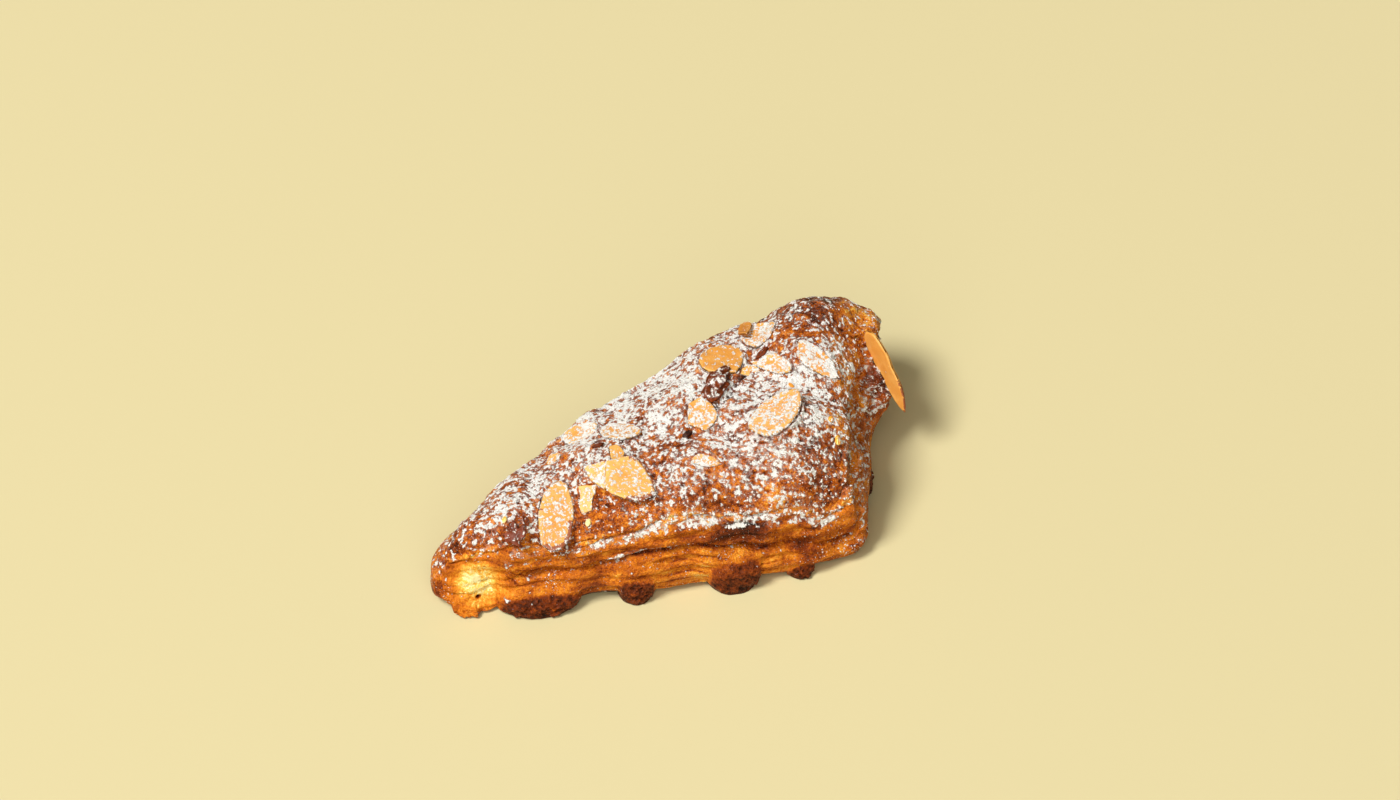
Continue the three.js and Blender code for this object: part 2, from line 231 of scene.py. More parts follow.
def make_lamp(name, direction, width, power):
    """A round lamp at the lamp distance that faces the pastry."""
    lamp = bpy.data.lights.new(name, "AREA")
    lamp.shape = "DISK"
    lamp.size = width * LAMP_DISTANCE
    lamp.energy = power
    lamp.color = LAMP_COLOUR
    away = unit(np.array(direction))
    side = unit(np.cross((0, 0, 1), away))
    stand(add_object(name, lamp), away * LAMP_DISTANCE, side, np.cross(away, side), away)


def make_sky():
    """An even, dim sky."""
    world = bpy.data.worlds.new("sky")
    world.use_nodes = True
    background = world.node_tree.nodes["Background"]
    background.inputs["Color"].default_value = SKY_COLOUR
    background.inputs["Strength"].default_value = SKY_STRENGTH
    bpy.context.scene.world = world


def make_camera():
    """A long lens that looks down at the aim point, turned by the azimuth."""
    lens = bpy.data.cameras.new("camera")
    lens.lens = LENS
    camera = add_object("camera", lens)
    flat = np.array([-math.sin(AZIMUTH), math.cos(AZIMUTH), 0])
    right = np.array([math.cos(AZIMUTH), math.sin(AZIMUTH), 0])
    forward = flat * math.cos(ELEVATION) - np.array([0, 0, math.sin(ELEVATION)])
    stand(camera, AIM - forward * AIM_DISTANCE, right, np.cross(right, forward), -forward)
    bpy.context.scene.camera = camera
    bpy.context.scene.view_settings.view_transform = "Standard"


make_floor()
for lamp_line in LAMPS:
    make_lamp(*lamp_line)
make_sky()
make_camera()
print("lamps at", LAMP_DISTANCE, "m, camera at", AIM_DISTANCE, "m")

# %% [markdown]
# ## Noise from arithmetic
#
# Bread is irregular at every size. Two kinds of made-up irregularity serve the whole lesson.
# Gradient noise gives rolling variation: each corner of a cubic lattice gets a random slope, and
# the slopes are blended. Cell noise gives pebbles and pores: each cell gets one random point, and
# the value is the distance to the nearest. Both are computed for all points at once, from a
# hash of whole numbers, so that each run gives the same pastry. Blender's own Displace modifier
# could do part of this, but its result couldn't also steer the baking and the sugar.

# %% Easing


def smooth(low, high, value):
    """0 below low, 1 above high, and a cubic ease between."""
    t = np.clip((value - low) / (high - low), 0, 1)
    return t * t * (3 - 2 * t)


def mix(a, b, t):
    """a where t is 0, b where t is 1."""
    return a + (b - a) * t


def bell(distance, width):
    """1 at distance 0, then falling as exp(-(distance / width)^2)."""
    return np.exp(-((distance / width) ** 2))


def distance_to(spot, *place):
    """Distance from a spot to places, which are given as one array for each coordinate."""
    return np.sqrt(sum((value - middle) ** 2 for value, middle in zip(place, spot)))


print("smooth steps:", smooth(0, 1, np.linspace(0, 1, 5)).round(2))

# %% Noise functions
NOISE_GAIN = 1.6
GOLDEN_ANGLE, GOLDEN_SHARE = 2.39996, 0.618


def cell_hash(cell, seed):
    """A repeatable number in 0..1 for each whole-number cell: multiply by primes, then fold."""
    n = cell[..., 0] * 374761393 + cell[..., 1] * 668265263 + cell[..., 2] * 1440662683
    n = (n + seed * 974634777) & 0xFFFFFFFF
    n = ((n ^ (n >> 13)) * 1274126177) & 0xFFFFFFFF
    return ((n ^ (n >> 16)) & 0xFFFFFF) / 0xFFFFFF


def noise(points, size, seed=0):
    """Gradient noise, about -1..1, with lumps of the given size.

    At each corner of the lattice a random slope is multiplied by the offset from the corner. The
    eight results are blended with quintic weights.
    """
    p = np.asarray(points, float) / size
    base = np.floor(p).astype(np.int64)
    part = p - base
    ease = part ** 3 * (part * (part * 6 - 15) + 10)
    total = np.zeros(p.shape[:-1])
    for corner in np.ndindex(2, 2, 2):
        cell = base + corner
        offset = part - corner
        slopes = sum((cell_hash(cell, seed + 7 * k) * 2 - 1) * offset[..., k] for k in range(3))
        weight = np.prod(np.where(np.array(corner) == 1, ease, 1 - ease), axis=-1)
        total += slopes * weight
    return total * NOISE_GAIN


def cells(points, size, seed=0):
    """Distance to the nearest random point, in cells: 0 at a pebble's middle, about 1 between."""
    p = np.asarray(points, float) / size
    base = np.floor(p).astype(np.int64)
    nearest = np.full(p.shape[:-1], 9.0)
    for step in np.ndindex(3, 3, 3):
        cell = base + step - 1
        spot = cell + np.stack([cell_hash(cell, seed + 5 * k) for k in range(3)], -1)
        nearest = np.minimum(nearest, ((spot - p) ** 2).sum(-1))
    return np.sqrt(nearest)


def lumps(x, y, wavelength, seed, waves=7):
    """The CAD model's own bumps: a few sine waves that run in spread directions."""
    total = 0
    for k in range(waves):
        heading = GOLDEN_ANGLE * k + seed
        length = wavelength * (0.75 + 0.5 * ((GOLDEN_SHARE * (k + seed)) % 1))
        place = x * math.cos(heading) + y * math.sin(heading)
        total = total + np.sin(2 * math.pi * place / length + 1.7 * k * k)
    return total / math.sqrt(waves / 2)


print("noise spread:", noise(np.random.default_rng(1).random((9999, 3)) * 50, 1).std().round(2))

# %% [markdown]
# ## The shape of the dough
#
# The CAD source builds the dough as columns of points that start on an inner line, run over the
# domed top to a rim, drop down the layered side, and return underneath. The same functions are
# repeated here with far more columns and rows, so that the fine surface follows the solid and
# there is room on it for layers a millimetre thick.

# %% Driving dimensions, as in the solid model
OUTLINE = [
    (-75, -28), (-69, -33.5), (-58, -36.5), (-24, -39.5), (1, -41), (28, -41), (46, -39.5),
    (56, -35.5), (60.5, -24), (64, -7), (69, 6), (75.5, 21), (76.5, 34), (67, 43), (50, 45),
    (32, 42), (6, 31), (-24, 17.5), (-50, 1), (-66, -12), (-74, -20.5),
]
TURN = (64, -7)
SPINE_FROM, SPINE_TO = np.array([-50.0, -24.0]), np.array([42.0, 2.0])
CREST = [(-80, 20), (-64, 24), (-44, 28), (-14, 34), (21, 39.5), (56, 42), (80, 41)]
ROUND_EDGE = 0.8
FRONT_EDGE = [
    (-72, 17), (-46, 22.5), (-26, 24), (-3, 30), (16, 27), (30, 24.5), (44, 19.5), (52, 17),
]
CREASE = [(-70, 8), (-45, 13), (-25, 15.4), (-10, 17.5), (2, 18.6), (16, 16), (26, 13), (50, 9)]
CREASE_SHARE = 0.4
DOME_REACH, DOME_POWER, EDGE_BLEND = 22, 2.2, 4
FRONT_PROFILE = [
    (0, 5), (0.08, 3), (0.16, 1.6), (0.32, 1.7), (0.4, 3.6), (0.48, 0.9), (0.62, 0), (0.8, 0.4),
    (0.9, 2), (1, 6),
]
ROUND_PROFILE = [
    (0, 8.5), (0.1, 6.2), (0.25, 3.4), (0.45, 0.8), (0.6, 0), (0.8, 0.6), (0.9, 2), (1, 6),
]
LAYER_PITCH, LAYER_RELIEF = 4.6, 0.45
KNOLLS = [
    (57, 29, 14, 4.2), (44, 34, 7, -2.4), (73, 38, 8, -3.6), (51, 42, 5, 2.4), (-60, -24, 9, 2.5),
    (-74, -22, 9, -7), (-60, -9, 7, 3), (-42, 3, 7, 1.6), (8, 29, 6, 1.8),
    (36, -22, 15, 1.5), (56, -32, 10, -5),
]
DRIPS = [
    (-44, -38.5, 12.5, 9, 4.5), (-14.5, -40.5, 5.5, 11, 2.8), (15.5, -41.5, 8, 14.5, 3.8),
    (36, -41, 4.4, 6, 2), (65, -11, 5, 14, 2), (-66, -35, 4.5, 5, 1.8),
    (-12, 19, 7, 7, 3), (24, 35, 9, 9, 3.4), (70, 38, 6, 6, 2.4),
]
SWELLINGS = [(74, 36, 34, 12, 4.5), (73, 24, 36, 7, 4), (71.5, 12, 22, 7, 7)]
PALE_SPOT, PALE_RADIUS, PALE_DEPTH = np.array([-62.5, -35.5, 11]), 8.5, 2.4
# The row where the side leaves the rim, as a share of the way down.
RIM_SHARE = 1 / 15
# Heights in the folded layers, which run with the fold, at the crease and at the rim.
CREASE_LAYER, RIM_LAYER = 16, 26
# Drips tuck in a little just above the table.
DRIP_TUCK, TUCK_HEIGHT = 0.6, 1.5


def along(table, place):
    """Reads a table of (place, value) with cosine steps between its entries."""
    places, values = np.array(table, float).T
    place = np.clip(place, places[0], places[-1])
    after = np.clip(np.searchsorted(places, place, side="right"), 1, len(places) - 1)
    share = (place - places[after - 1]) / (places[after] - places[after - 1])
    return mix(values[after - 1], values[after], (1 - np.cos(math.pi * share)) / 2)


def closed_curve(points, steps=240):
    """A closed curve through points, and each place's share of its length.

    Between two points it is the cubic whose slope at each is half the step from the point
    before to the point after.
    """
    p = np.array(points, float)
    before, start, end, after = (np.roll(p, k, 0)[:, None] for k in (1, 0, -1, -2))
    t = (np.arange(steps) / steps)[None, :, None]
    curve = start + 0.5 * t * (end - before)
    curve = curve + 0.5 * t ** 2 * (2 * before - 5 * start + 4 * end - after)
    curve = curve + 0.5 * t ** 3 * (3 * start - before - 3 * end + after)
    curve = curve.reshape(-1, 2)
    curve = np.vstack([curve, curve[:1]])
    length = np.concatenate([[0], np.cumsum(np.linalg.norm(np.diff(curve, axis=0), axis=1))])
    return curve, length / length[-1], length[-1]


outline, outline_share, OUTLINE_LENGTH = closed_curve(OUTLINE)
turn_share = outline_share[np.argmin(((outline - TURN) ** 2).sum(1))]
print("outline length, mm:", round(OUTLINE_LENGTH, 1))

# %% Height of the dome, and inset of the side


def add_hills(height, x, y, hills):
    """Adds round hills, given as x, y, radius and rise: each is its rise times a bell."""
    for hx, hy, radius, rise in hills:
        height = height + rise * bell(distance_to((hx, hy), x, y), radius)
    return height


def dome_height(x, y):
    """Height of the dough's top: distances in from its four edges, blended into one."""
    front = y - (-36.5 + 0.00055 * (x - 16) ** 2)
    right = (53 + 0.28 * (y + 23) - x) * 0.963
    slanting_back = (-17.5 + 0.53 * (x + 66) - y) * 0.883
    inward = np.stack([front, right, slanting_back, 37.5 - y])
    pulls = np.exp(-inward / EDGE_BLEND)
    total = pulls.sum(0)
    distance = -EDGE_BLEND * np.log(total)
    crest = along(CREST, x)
    edge = mix(crest * ROUND_EDGE, along(FRONT_EDGE, x), pulls[0] / total)
    rise = 1 - (1 - np.clip(distance / DOME_REACH, 0, 1)) ** DOME_POWER
    height = add_hills(mix(edge, crest, rise), x, y, KNOLLS)
    return height + 0.8 * lumps(x, y, 30, 1) + 0.3 * lumps(x, y, 14, 2)


def bundle_wave(c, z):
    """The bundles of layers: a sine of the height, shifted by a slow wander along the side."""
    wander = 0.012 * c.x + 0.5 * lumps(c.x, c.y, 60, 3)
    return LAYER_RELIEF * np.sin(2 * math.pi * z / LAYER_PITCH + 2 * wander)


def side_inset(c, share, z):
    """How far the side lies in from the outline, and how much of it is baked-out cream.

    share runs down the side from 0 to 1. A profile gives the fold of the front and the bulge of
    the rest, a sine gives the bundles of layers, and drips replace both with a round tongue.
    """
    x, y = c.x, c.y
    inset = mix(along(ROUND_PROFILE, share), along(FRONT_PROFILE, share), c.front)
    inset = inset + bundle_wave(c, z) * smooth(0, 0.15, share) * smooth(0.95, 0.8, share)
    inset = inset + 0.5 * lumps(x, y + z, 19, 4) * smooth(0, 0.2, share)
    dent = distance_to(PALE_SPOT, x, y, z) / PALE_RADIUS
    inset = inset + PALE_DEPTH * np.exp(-dent ** 4)
    for sx, sy, sz, radius, reach in SWELLINGS:
        inset = inset - reach * bell(distance_to((sx, sy, sz), x, y, z), radius)
    tongue = np.zeros_like(inset)
    for dx, dy, half_width, height, reach in DRIPS:
        away = distance_to((dx, dy), x, y) / half_width
        drip = np.sqrt(np.clip(1 - away ** 2, 0, 1)) * smooth(height, 0.45 * height, z)
        inset = mix(inset, -reach + DRIP_TUCK * smooth(TUCK_HEIGHT, 0, z), drip)
        tongue = np.maximum(tongue, drip)
    return inset, tongue


print("crest of the dome, mm:", dome_height(np.array([-40.0, 0, 40]), np.zeros(3)).round(1))

# %% Columns around the outline


def outline_at(share):
    """Points of the outline at shares of its length, as x and y."""
    share = share % 1
    return np.stack([np.interp(share, outline_share, outline[:, k]) for k in (0, 1)], -1)


class Columns:
    """The columns of a grid: outline point, inward direction, inner-line point, and rim.

    The first half runs along the front and the second half returns along the back, so that both
    meet the inner line in the same points. Each value is an array with one row for each column.
    """

    def __init__(self, count):
        half = count // 2
        index = np.arange(count)
        step = (index % half) / half
        is_front = index < half
        share = np.where(is_front, turn_share * step, turn_share + (1 - turn_share) * step)
        tangent = unit(outline_at(share + 4e-4) - outline_at(share - 4e-4))
        self.count = count
        self.x, self.y = outline_at(share).T[..., None]
        self.in_x, self.in_y = -tangent[:, 1:], tangent[:, :1]
        self.spine = mix(SPINE_FROM, SPINE_TO, np.where(is_front, step, 1 - step)[:, None])
        self.front = smooth(0.35, 0.85, tangent[:, :1])
        rim_z = along(CREST, self.x) * ROUND_EDGE
        self.rim_inset = side_inset(self, np.zeros((count, 1)), rim_z)[0]
        self.rim = self.inside(self.rim_inset)
        self.rim_z = dome_height(*self.rim)

    def inside(self, inset):
        """x and y of places that lie in from the outline by the inset."""
        return self.x + self.in_x * inset, self.y + self.in_y * inset


def side_surface(c, share):
    """Points down the side for each column and share, with how much is cream, and the layer."""
    share = np.broadcast_to(share, (c.count, np.shape(share)[-1]))
    crease = mix(c.rim_z * (1 - CREASE_SHARE), along(CREASE, c.x), c.front)
    above = share / CREASE_SHARE
    below = (share - CREASE_SHARE) / (1 - CREASE_SHARE)
    z = np.where(above < 1, mix(c.rim_z, crease, above), crease * (1 - below))
    inset, tongue = side_inset(c, share, z)
    inset = mix(c.rim_inset, inset, smooth(0, RIM_SHARE, share))
    folded = np.where(above < 1, mix(RIM_LAYER, CREASE_LAYER, above), CREASE_LAYER * (1 - below))
    return np.stack([*c.inside(inset), z], -1), tongue, mix(z, folded, c.front)


def top_surface(c, out):
    """Points of the dome from the inner line, out = 0, to the rim, out = 1."""
    flat = mix(c.spine[:, None], np.stack(c.rim, -1), np.asarray(out)[:, None])
    return np.dstack([flat, dome_height(flat[..., 0], flat[..., 1])])


few = Columns(100)
print("rim height, mm:", few.rim_z.min().round(1), "to", few.rim_z.max().round(1))

# %% [markdown]
# ## From a grid to a closed mesh
#
# A grid of columns and rows becomes a mesh of squares. The first and last rows of the front and
# back halves lie on the same inner line, so their points are shared, as a zip closes a coat. A
# ball or an almond has a pole at each end instead, where a whole row is one point. What the
# finish needs to know about each point, such as how dark it baked, is stored on the mesh as
# attributes, which the materials read.

# %% A mesh object


def make_object(name, points, faces, slot, material, faceted=False, **attributes):
    """A mesh object, in metres, that rides with the pastry and carries attributes."""
    mesh = bpy.data.meshes.new(name)
    points = np.asarray(points, np.float32).reshape(-1, 3)
    faces = np.asarray(faces, np.int32)
    mesh.vertices.add(len(points))
    mesh.vertices.foreach_set("co", (points * MM).ravel())
    mesh.loops.add(faces.size)
    mesh.loops.foreach_set("vertex_index", faces.ravel())
    mesh.polygons.add(len(faces))
    mesh.polygons.foreach_set("loop_start", np.arange(0, faces.size, faces.shape[1]))
    mesh.update(calc_edges=True)
    if not faceted:
        mesh.shade_smooth()
    for key, values in attributes.items():
        values = np.asarray(values, np.float32)
        is_number = values.size == len(points)
        kind, field = ("FLOAT", "value") if is_number else ("FLOAT_VECTOR", "vector")
        mesh.attributes.new(key, kind, "POINT").data.foreach_set(field, values.ravel())
    mesh.materials.append(material)
    made = add_object(name, mesh)
    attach(made, "root")
    print(name, len(points), "points,", faces.size - 2 * len(faces), "triangles")
    return made


# %% Normals and faces of a grid


def grid_normals(points):
    """Unit normals of a grid that closes around: steps down the rows cross steps around."""
    around = np.roll(points, -1, 0) - np.roll(points, 1, 0)
    normal = np.cross(np.gradient(points, axis=1), around)
    normal[:, 0] = (0, 0, 1)
    return unit(normal)


def zipped(columns, rows):
    """Faces of a grid zipped along its first and last rows, and the grid points it keeps."""
    half = columns // 2
    column = np.arange(columns)
    fold = np.where(column <= half, column, columns - column)
    number = np.empty((columns, rows), np.int64)
    number[:, 1:-1] = half + 1 + np.arange(columns * (rows - 2)).reshape(columns, rows - 2)
    number[:, 0] = fold
    last = half + 1 + columns * (rows - 2)
    number[:, -1] = last + fold
    a, b = number, np.roll(number, -1, 0)
    faces = np.stack([a[:, :-1], a[:, 1:], b[:, 1:], b[:, :-1]], -1).reshape(-1, 4)
    kept = np.empty(last + half + 1, np.int64)
    kept[number[::-1].ravel()] = np.arange(columns * rows).reshape(columns, rows)[::-1].ravel()
    return faces, kept


def closed_rings(angles, rings):
    """Faces of rings around two poles, with one vertex at each pole, and the points kept."""
    number = np.arange(angles * rings).reshape(angles, rings)
    number[:, 0] = number[0, 0]
    number[:, -1] = number[0, -1]
    a, b = number, np.roll(number, -1, 0)
    quads = np.stack([a[:, 1:-2], a[:, 2:-1], b[:, 2:-1], b[:, 1:-2]], -1).reshape(-1, 4)
    tops = np.stack([a[:, 0], a[:, 1], b[:, 1]], -1)
    bases = np.stack([a[:, -2], a[:, -1], b[:, -2]], -1)
    triangles = np.concatenate([quads[:, [0, 1, 2]], quads[:, [0, 2, 3]], tops, bases])
    kept, triangles = np.unique(triangles, return_inverse=True)
    return triangles.reshape(-1, 3), kept


def closed(grid, maps, closing):
    """Points, faces and maps of a closed mesh of a grid, without the share under sugar."""
    faces, kept = closing(*grid.shape[:2])
    on_mesh = {
        key: values.reshape(values.shape[0] * values.shape[1], -1)[kept]
        for key, values in maps.items() if key != "sugar"
    }
    return grid.reshape(-1, 3)[kept], faces, on_mesh


def make_piece(name, grid, maps, closing, slot, material):
    """An object from a grid and its maps."""
    points, faces, on_mesh = closed(grid, maps, closing)
    return make_object(name, points, faces, slot, material, **on_mesh)


def pad_rows(maps, before, after):
    """Carries the first and last row of each map on over the rows before and after it."""
    wide = [(0, 0), (before, after), (0, 0)]
    return {key: np.pad(values, wide[:values.ndim], mode="edge") for key, values in maps.items()}


def held_in(points, margin=0.35, soft=1.5):
    """Eases points near the CAD box's walls back inside them, where a tanh takes over."""
    low, high = np.array(cad_box) / MM
    over = np.clip(points - (high - margin - soft), 0, None)
    points = points - over + soft * np.tanh(over / soft)
    under = np.clip(low + margin + soft - points, 0, None)
    under[..., 2] = 0
    return points + under - soft * np.tanh(under / soft)


print("a zipped grid of 6 by 4 has", len(zipped(6, 4)[0]), "faces")

# %% [markdown]
# ## Finishes: dough, crust and sugar
#
# Baking is one process, so one scale serves every brown on the pastry: from raw cream through
# butter yellow, gold and chestnut to burnt. The meshes carry how far each point has baked, with
# painted shade added in gaps, pores, cracks and hollows, and a colour ramp turns that into
# colour. Noise that is stretched along the layers breaks it into streaks; where that noise
# darkens, it also sinks the bump, which paints shade into the pits. Sugar is a map on the meshes
# too, above 0 where it lies, so that the painted flecks and the modelled clumps agree. Fine noise
# in the material makes the flecks' shores ragged.

# %% Sugar on a colour
SUGAR_COLOUR = (0.875, 0.855, 0.815, 1)
# Values of the sugar field between which a fleck and the haze around it fade in.
FLECK_FADE, HAZE_FADE = (-0.03, 0.10), (-0.3, 0.05)
# Single grains show where fine noise is above a level, which the specks map lowers.
GRAIN_LEVEL, GRAIN_REACH, GRAIN_FADE = 0.79, 0.13, 0.04


def weigh(*pairs):
    """Sum of amount x (noise - 0.5) over pairs of noise and amount."""
    total = 0.0
    for value, amount in pairs:
        total = (value - 0.5) * amount + total
    return total


def add_sugar(f, colour):
    """Lays sugar on a colour: flecks where the powder map is above 0, haze, and single grains.

    Returns the new colour and how white each place is.
    """
    field = f.map("powder") + weigh((f.noise(0.6, 3.0, 0.75, seed=5.0), 1.1))
    flecks = f.ease(field, *FLECK_FADE)
    level = GRAIN_LEVEL - f.map("specks") * GRAIN_REACH
    single = f.ease(f.noise(0.55, 2.0, 0.5, seed=7.0), level, level + GRAIN_FADE)
    haze = f.map("dust") * f.ease(field, *HAZE_FADE)
    white = f.math("MAXIMUM", f.math("MAXIMUM", flecks, single), haze)
    return f.blend(colour, SUGAR_COLOUR, white), white


print("sugar colour:", SUGAR_COLOUR[:3])

# %% Baked dough and crust
BAKE_RAMP = [
    (0.00, (0.97, 0.84, 0.42)), (0.10, (0.97, 0.62, 0.110)), (0.22, (0.84, 0.31, 0.026)),
    (0.36, (0.66, 0.180, 0.010)), (0.50, (0.42, 0.090, 0.006)), (0.63, (0.22, 0.038, 0.005)),
    (0.80, (0.080, 0.016, 0.004)), (1.00, (0.016, 0.006, 0.004)),
]
SUGAR_ROUGHNESS, SUGAR_RISE = 0.9, 0.5


def baked_material(name, streaks, blotch, roughness, bump, gloss=0.11):
    """Baked dough or crust with sugar on it.

    streaks is how much the layer noise moves the baking, blotch the same for round noise, bump
    the height of the fine relief in millimetres, and gloss the strength of the reflection. Where
    the noise darkens the colour it sinks the bump too: painted shade in the pits and grooves.
    """
    f = Finish(name)
    spots = f.noise(3.0, 4.0, 0.62)
    grains = f.noise(1.0, 3.0, 0.7, seed=8.0)
    fine = f.noise(0.42, 2.0, 0.6, seed=2.0)
    # Each noise darkens where it lowers the height below: uneven baking, plus painted shade in the
    # pits.
    shift = weigh((spots, blotch), (grains, blotch * 1.1), (fine, blotch * 0.9))
    height = weigh((grains, -1.3), (spots, -0.7), (fine, -0.6))
    if streaks:
        layers = f.map("layers", "Vector")
        streak = f.noise(1.0, 3.0, 0.65, layers)
        hair = f.noise(0.30, 2.0, 0.5, layers, seed=3.0)
        lively = f.math("SUBTRACT", 1.0, f.map("calm"), clamp=True)
        wave = weigh((streak, streaks * 1.2), (hair, streaks * 1.1)) * lively
        # Darker streaks are sunk too, so the grooves between them get painted shade.
        shift = shift + wave
        height = height - wave * 1.4
    shade = f.math("ADD", f.map("bake"), shift, clamp=True)
    colour, white = add_sugar(f, f.ramp(shade, BAKE_RAMP))
    shine = roughness + spots * 0.25
    shine = shine + white * (SUGAR_ROUGHNESS - shine)
    return f.done({
        "Base Color": colour, "Roughness": shine, "Specular IOR Level": gloss,
        "Normal": f.bump(height + white * SUGAR_RISE, bump), "Subsurface Weight": 0.05,
        "Subsurface Scale": 0.0012, "Subsurface Radius": (1.0, 0.35, 0.1),
    })


dough_material = baked_material(
    "laminated_dough", streaks=0.36, blotch=0.50, roughness=0.12, bump=0.70, gloss=0.13,
)
crust_material = baked_material(
    "almond_crust", streaks=0, blotch=0.95, roughness=0.32, bump=0.65,
)
print("baking scale has", len(BAKE_RAMP), "stops")

# %% [markdown]
# ## Where sugar lies
#
# Sieved sugar falls evenly and then clings in branching islands a millimetre or two across. Two
# sizes of noise together make such islands, and a threshold sets how much of the surface they
# cover: each part of the pastry asks for its own share.

# %% Powder map
# The spread of the three-sized noise, and a close formula's factor and power for its quantiles.
POWDER_SPREAD, QUANTILE_FACTOR, QUANTILE_POWER = 0.18, 4.91, 0.14


def powder_map(points, share, fineness=1.0):
    """A map that is above 0 on the given share of the surface.

    Noise of three sizes has a nearly normal spread, so the threshold for a share is that
    spread times the normal quantile, for which 4.91 (p^0.14 - (1 - p)^0.14) is a close formula.
    """
    points = points * fineness
    height = 0.30 * noise(points, 2.2, 201) + 0.36 * noise(points, 1.1, 202)
    height = height + 0.22 * noise(points, 0.6, 203)
    share = np.clip(share, 1e-4, 0.98)
    quantile = QUANTILE_FACTOR * ((1 - share) ** QUANTILE_POWER - share ** QUANTILE_POWER)
    return height - POWDER_SPREAD * quantile


def with_powder(points, maps, fineness=1.0):
    """Adds the powder map and the dust between the flecks to a grid's maps."""
    share = maps["sugar"]
    maps["powder"] = powder_map(points, share, fineness)
    maps["dust"] = 0.05 * smooth(0.02, 0.1, share) + 0.22 * smooth(0.03, 0.8, share)
    return maps


asked = 0.3
found = (powder_map(np.random.default_rng(2).random((9999, 3)) * 90, asked) > 0).mean()
print("sugar asked for", asked, "of a surface, found", found.round(2))

# %% [markdown]
# ## The dough
#
# Rolled dough bakes into leaves a millimetre or so thick, which part and curl where they were
# cut. Modelling each leaf would take hundreds of sheets, so the side stays one surface and moves
# in and out instead. A wave of the layer height gives the leaves, with sharp gaps between them,
# and noise makes each leaf start, stop and wander. At the rolled tip the leaves run in rings
# around the roll's pale middle, which stayed soft and tore into fibres. Drips of almond cream at
# the base baked hard and porous.

# %% The side as a grid, and the tip where it was rolled
DOUGH_COLUMNS = 900
DOUGH_SIDE_ROWS = 92
# Across the tip's face, from the left to the right.
TIP_ACROSS = np.array([0.86, -0.51, 0])
# The tip has no fold: its crease is filled by this much.
CREASE_FILL, FILL_WIDTH = 2.8, 0.09


def pale_spot(points):
    """Distance from the pale spot's middle over its radius, and the angle around it."""
    away = points - PALE_SPOT
    radius = np.linalg.norm(away, axis=-1)
    return radius / PALE_RADIUS, np.arctan2(away[..., 2], away @ TIP_ACROSS)


sides = Columns(DOUGH_COLUMNS)
share = np.linspace(0, 1, DOUGH_SIDE_ROWS)
side, tongue, layer = side_surface(sides, share)
x, y, z = np.moveaxis(side, -1, 0)
distance, angle = pale_spot(side)
tip = bell(np.clip(distance - 0.6, 0, None), 1.1)
pale = smooth(1.45, 0.75, distance + 0.25 * noise(side, 4, 31))
filled = CREASE_FILL * bell(share - CREASE_SHARE, FILL_WIDTH) * smooth(1.8, 0.8, distance)
filled = filled + bundle_wave(sides, z) * smooth(1.7, 0.9, distance)
side = side + grid_normals(side) * filled[..., None]
layer = mix(layer, distance * PALE_RADIUS + 3, tip * (1 - tongue))
leafy = (1 - smooth(0.05, 0.4, tongue)) * (1 - pale)
print("leaves cover", round(100 * leafy.mean()), "% of the side, the pale tip", (pale > 0.5).sum(),
      "points")

# %% Leaves
LEAF_PITCH, FINE_PITCH, GAP_WIDTH = 2.3, 0.8, 0.085


def leaf_relief(points, layer):
    """Outward relief of the leaves, and the gaps between them.

    The layer is bent by noise and divided by the pitch. Its fraction f gives a ridge of
    1 - |2f - 1|^3, and a gap where f is near 0. Whole leaves stand out or sink at random.
    """
    bent = layer + 1.5 * noise(points, 26, 11) + 0.8 * noise(points, 9, 12)
    leaf, part = np.divmod(bent / LEAF_PITCH, 1)
    flat = points.copy()
    flat[..., 2] = leaf * 40
    stands = noise(flat, 12, 13)
    ridge = 1 - np.abs(2 * part - 1) ** 3
    gap = bell(np.minimum(part, 1 - part), GAP_WIDTH) * smooth(-0.15, 0.5, noise(points, 11, 15))
    fine = (bent + 0.3 * noise(points, 3, 14)) / FINE_PITCH % 1
    fine = (1 - (2 * fine - 1) ** 2) * smooth(-0.2, 0.4, noise(points, 6, 16))
    relief = 0.28 * stands + 0.07 * ridge - 0.22 * gap + 0.07 * fine
    return relief * smooth(-0.5, 0.3, noise(points, 13, 20)), gap


leaves, gap = leaf_relief(side, layer)
relief = leaves * leafy * smooth(0.01, 0.09, share) * smooth(1, 0.93, share)
print("leaf relief, mm:", leaves.min().round(2), "to", leaves.max().round(2))

# %% Drips, the porous shoulder and the torn tip
# A small hole in the tip: x, height, radius and depth.
HOLE_X, HOLE_Z, HOLE_RADIUS, HOLE_DEPTH = -61.8, 5.2, 0.95, 1.5

pores = smooth(0.55, 0.15, cells(side, 1.5, 41)) + 0.8 * smooth(0.6, 0.2, cells(side, 0.9, 42))
porous = 0.7 * noise(side, 4, 43) + 0.5 * noise(side, 1.7, 44) - 0.55 * pores
shoulder = smooth(52, 59, x) * smooth(0.62, 0.35, share + 0.2 * noise(side, 8, 45))
tip_crumb = bell(x + 66, 5) * bell(y + 37, 5)
rough = tongue * (1.1 + 0.8 * tip_crumb) + 0.8 * shoulder
relief = relief * (1 - 0.7 * shoulder) + rough * porous * smooth(0, 1, z)
rays = np.stack([np.cos(angle) * 4, np.sin(angle) * 4, distance * 1.1], -1)
fibres = noise(rays, 1.0, 51) + 0.6 * noise(rays, 0.45, 52)
relief = relief + pale * (0.30 * fibres + 0.45 * noise(side, 4.2, 53))
hole = np.hypot(x - HOLE_X + 0.5 * noise(side, 1.5, 54), 1.7 * (z - HOLE_Z)) / HOLE_RADIUS
hole = np.exp(-hole ** 4) * (y < -20)
relief = relief - HOLE_DEPTH * hole
print("deepest pore, mm:", round(-0.55 * pores.max(), 2))

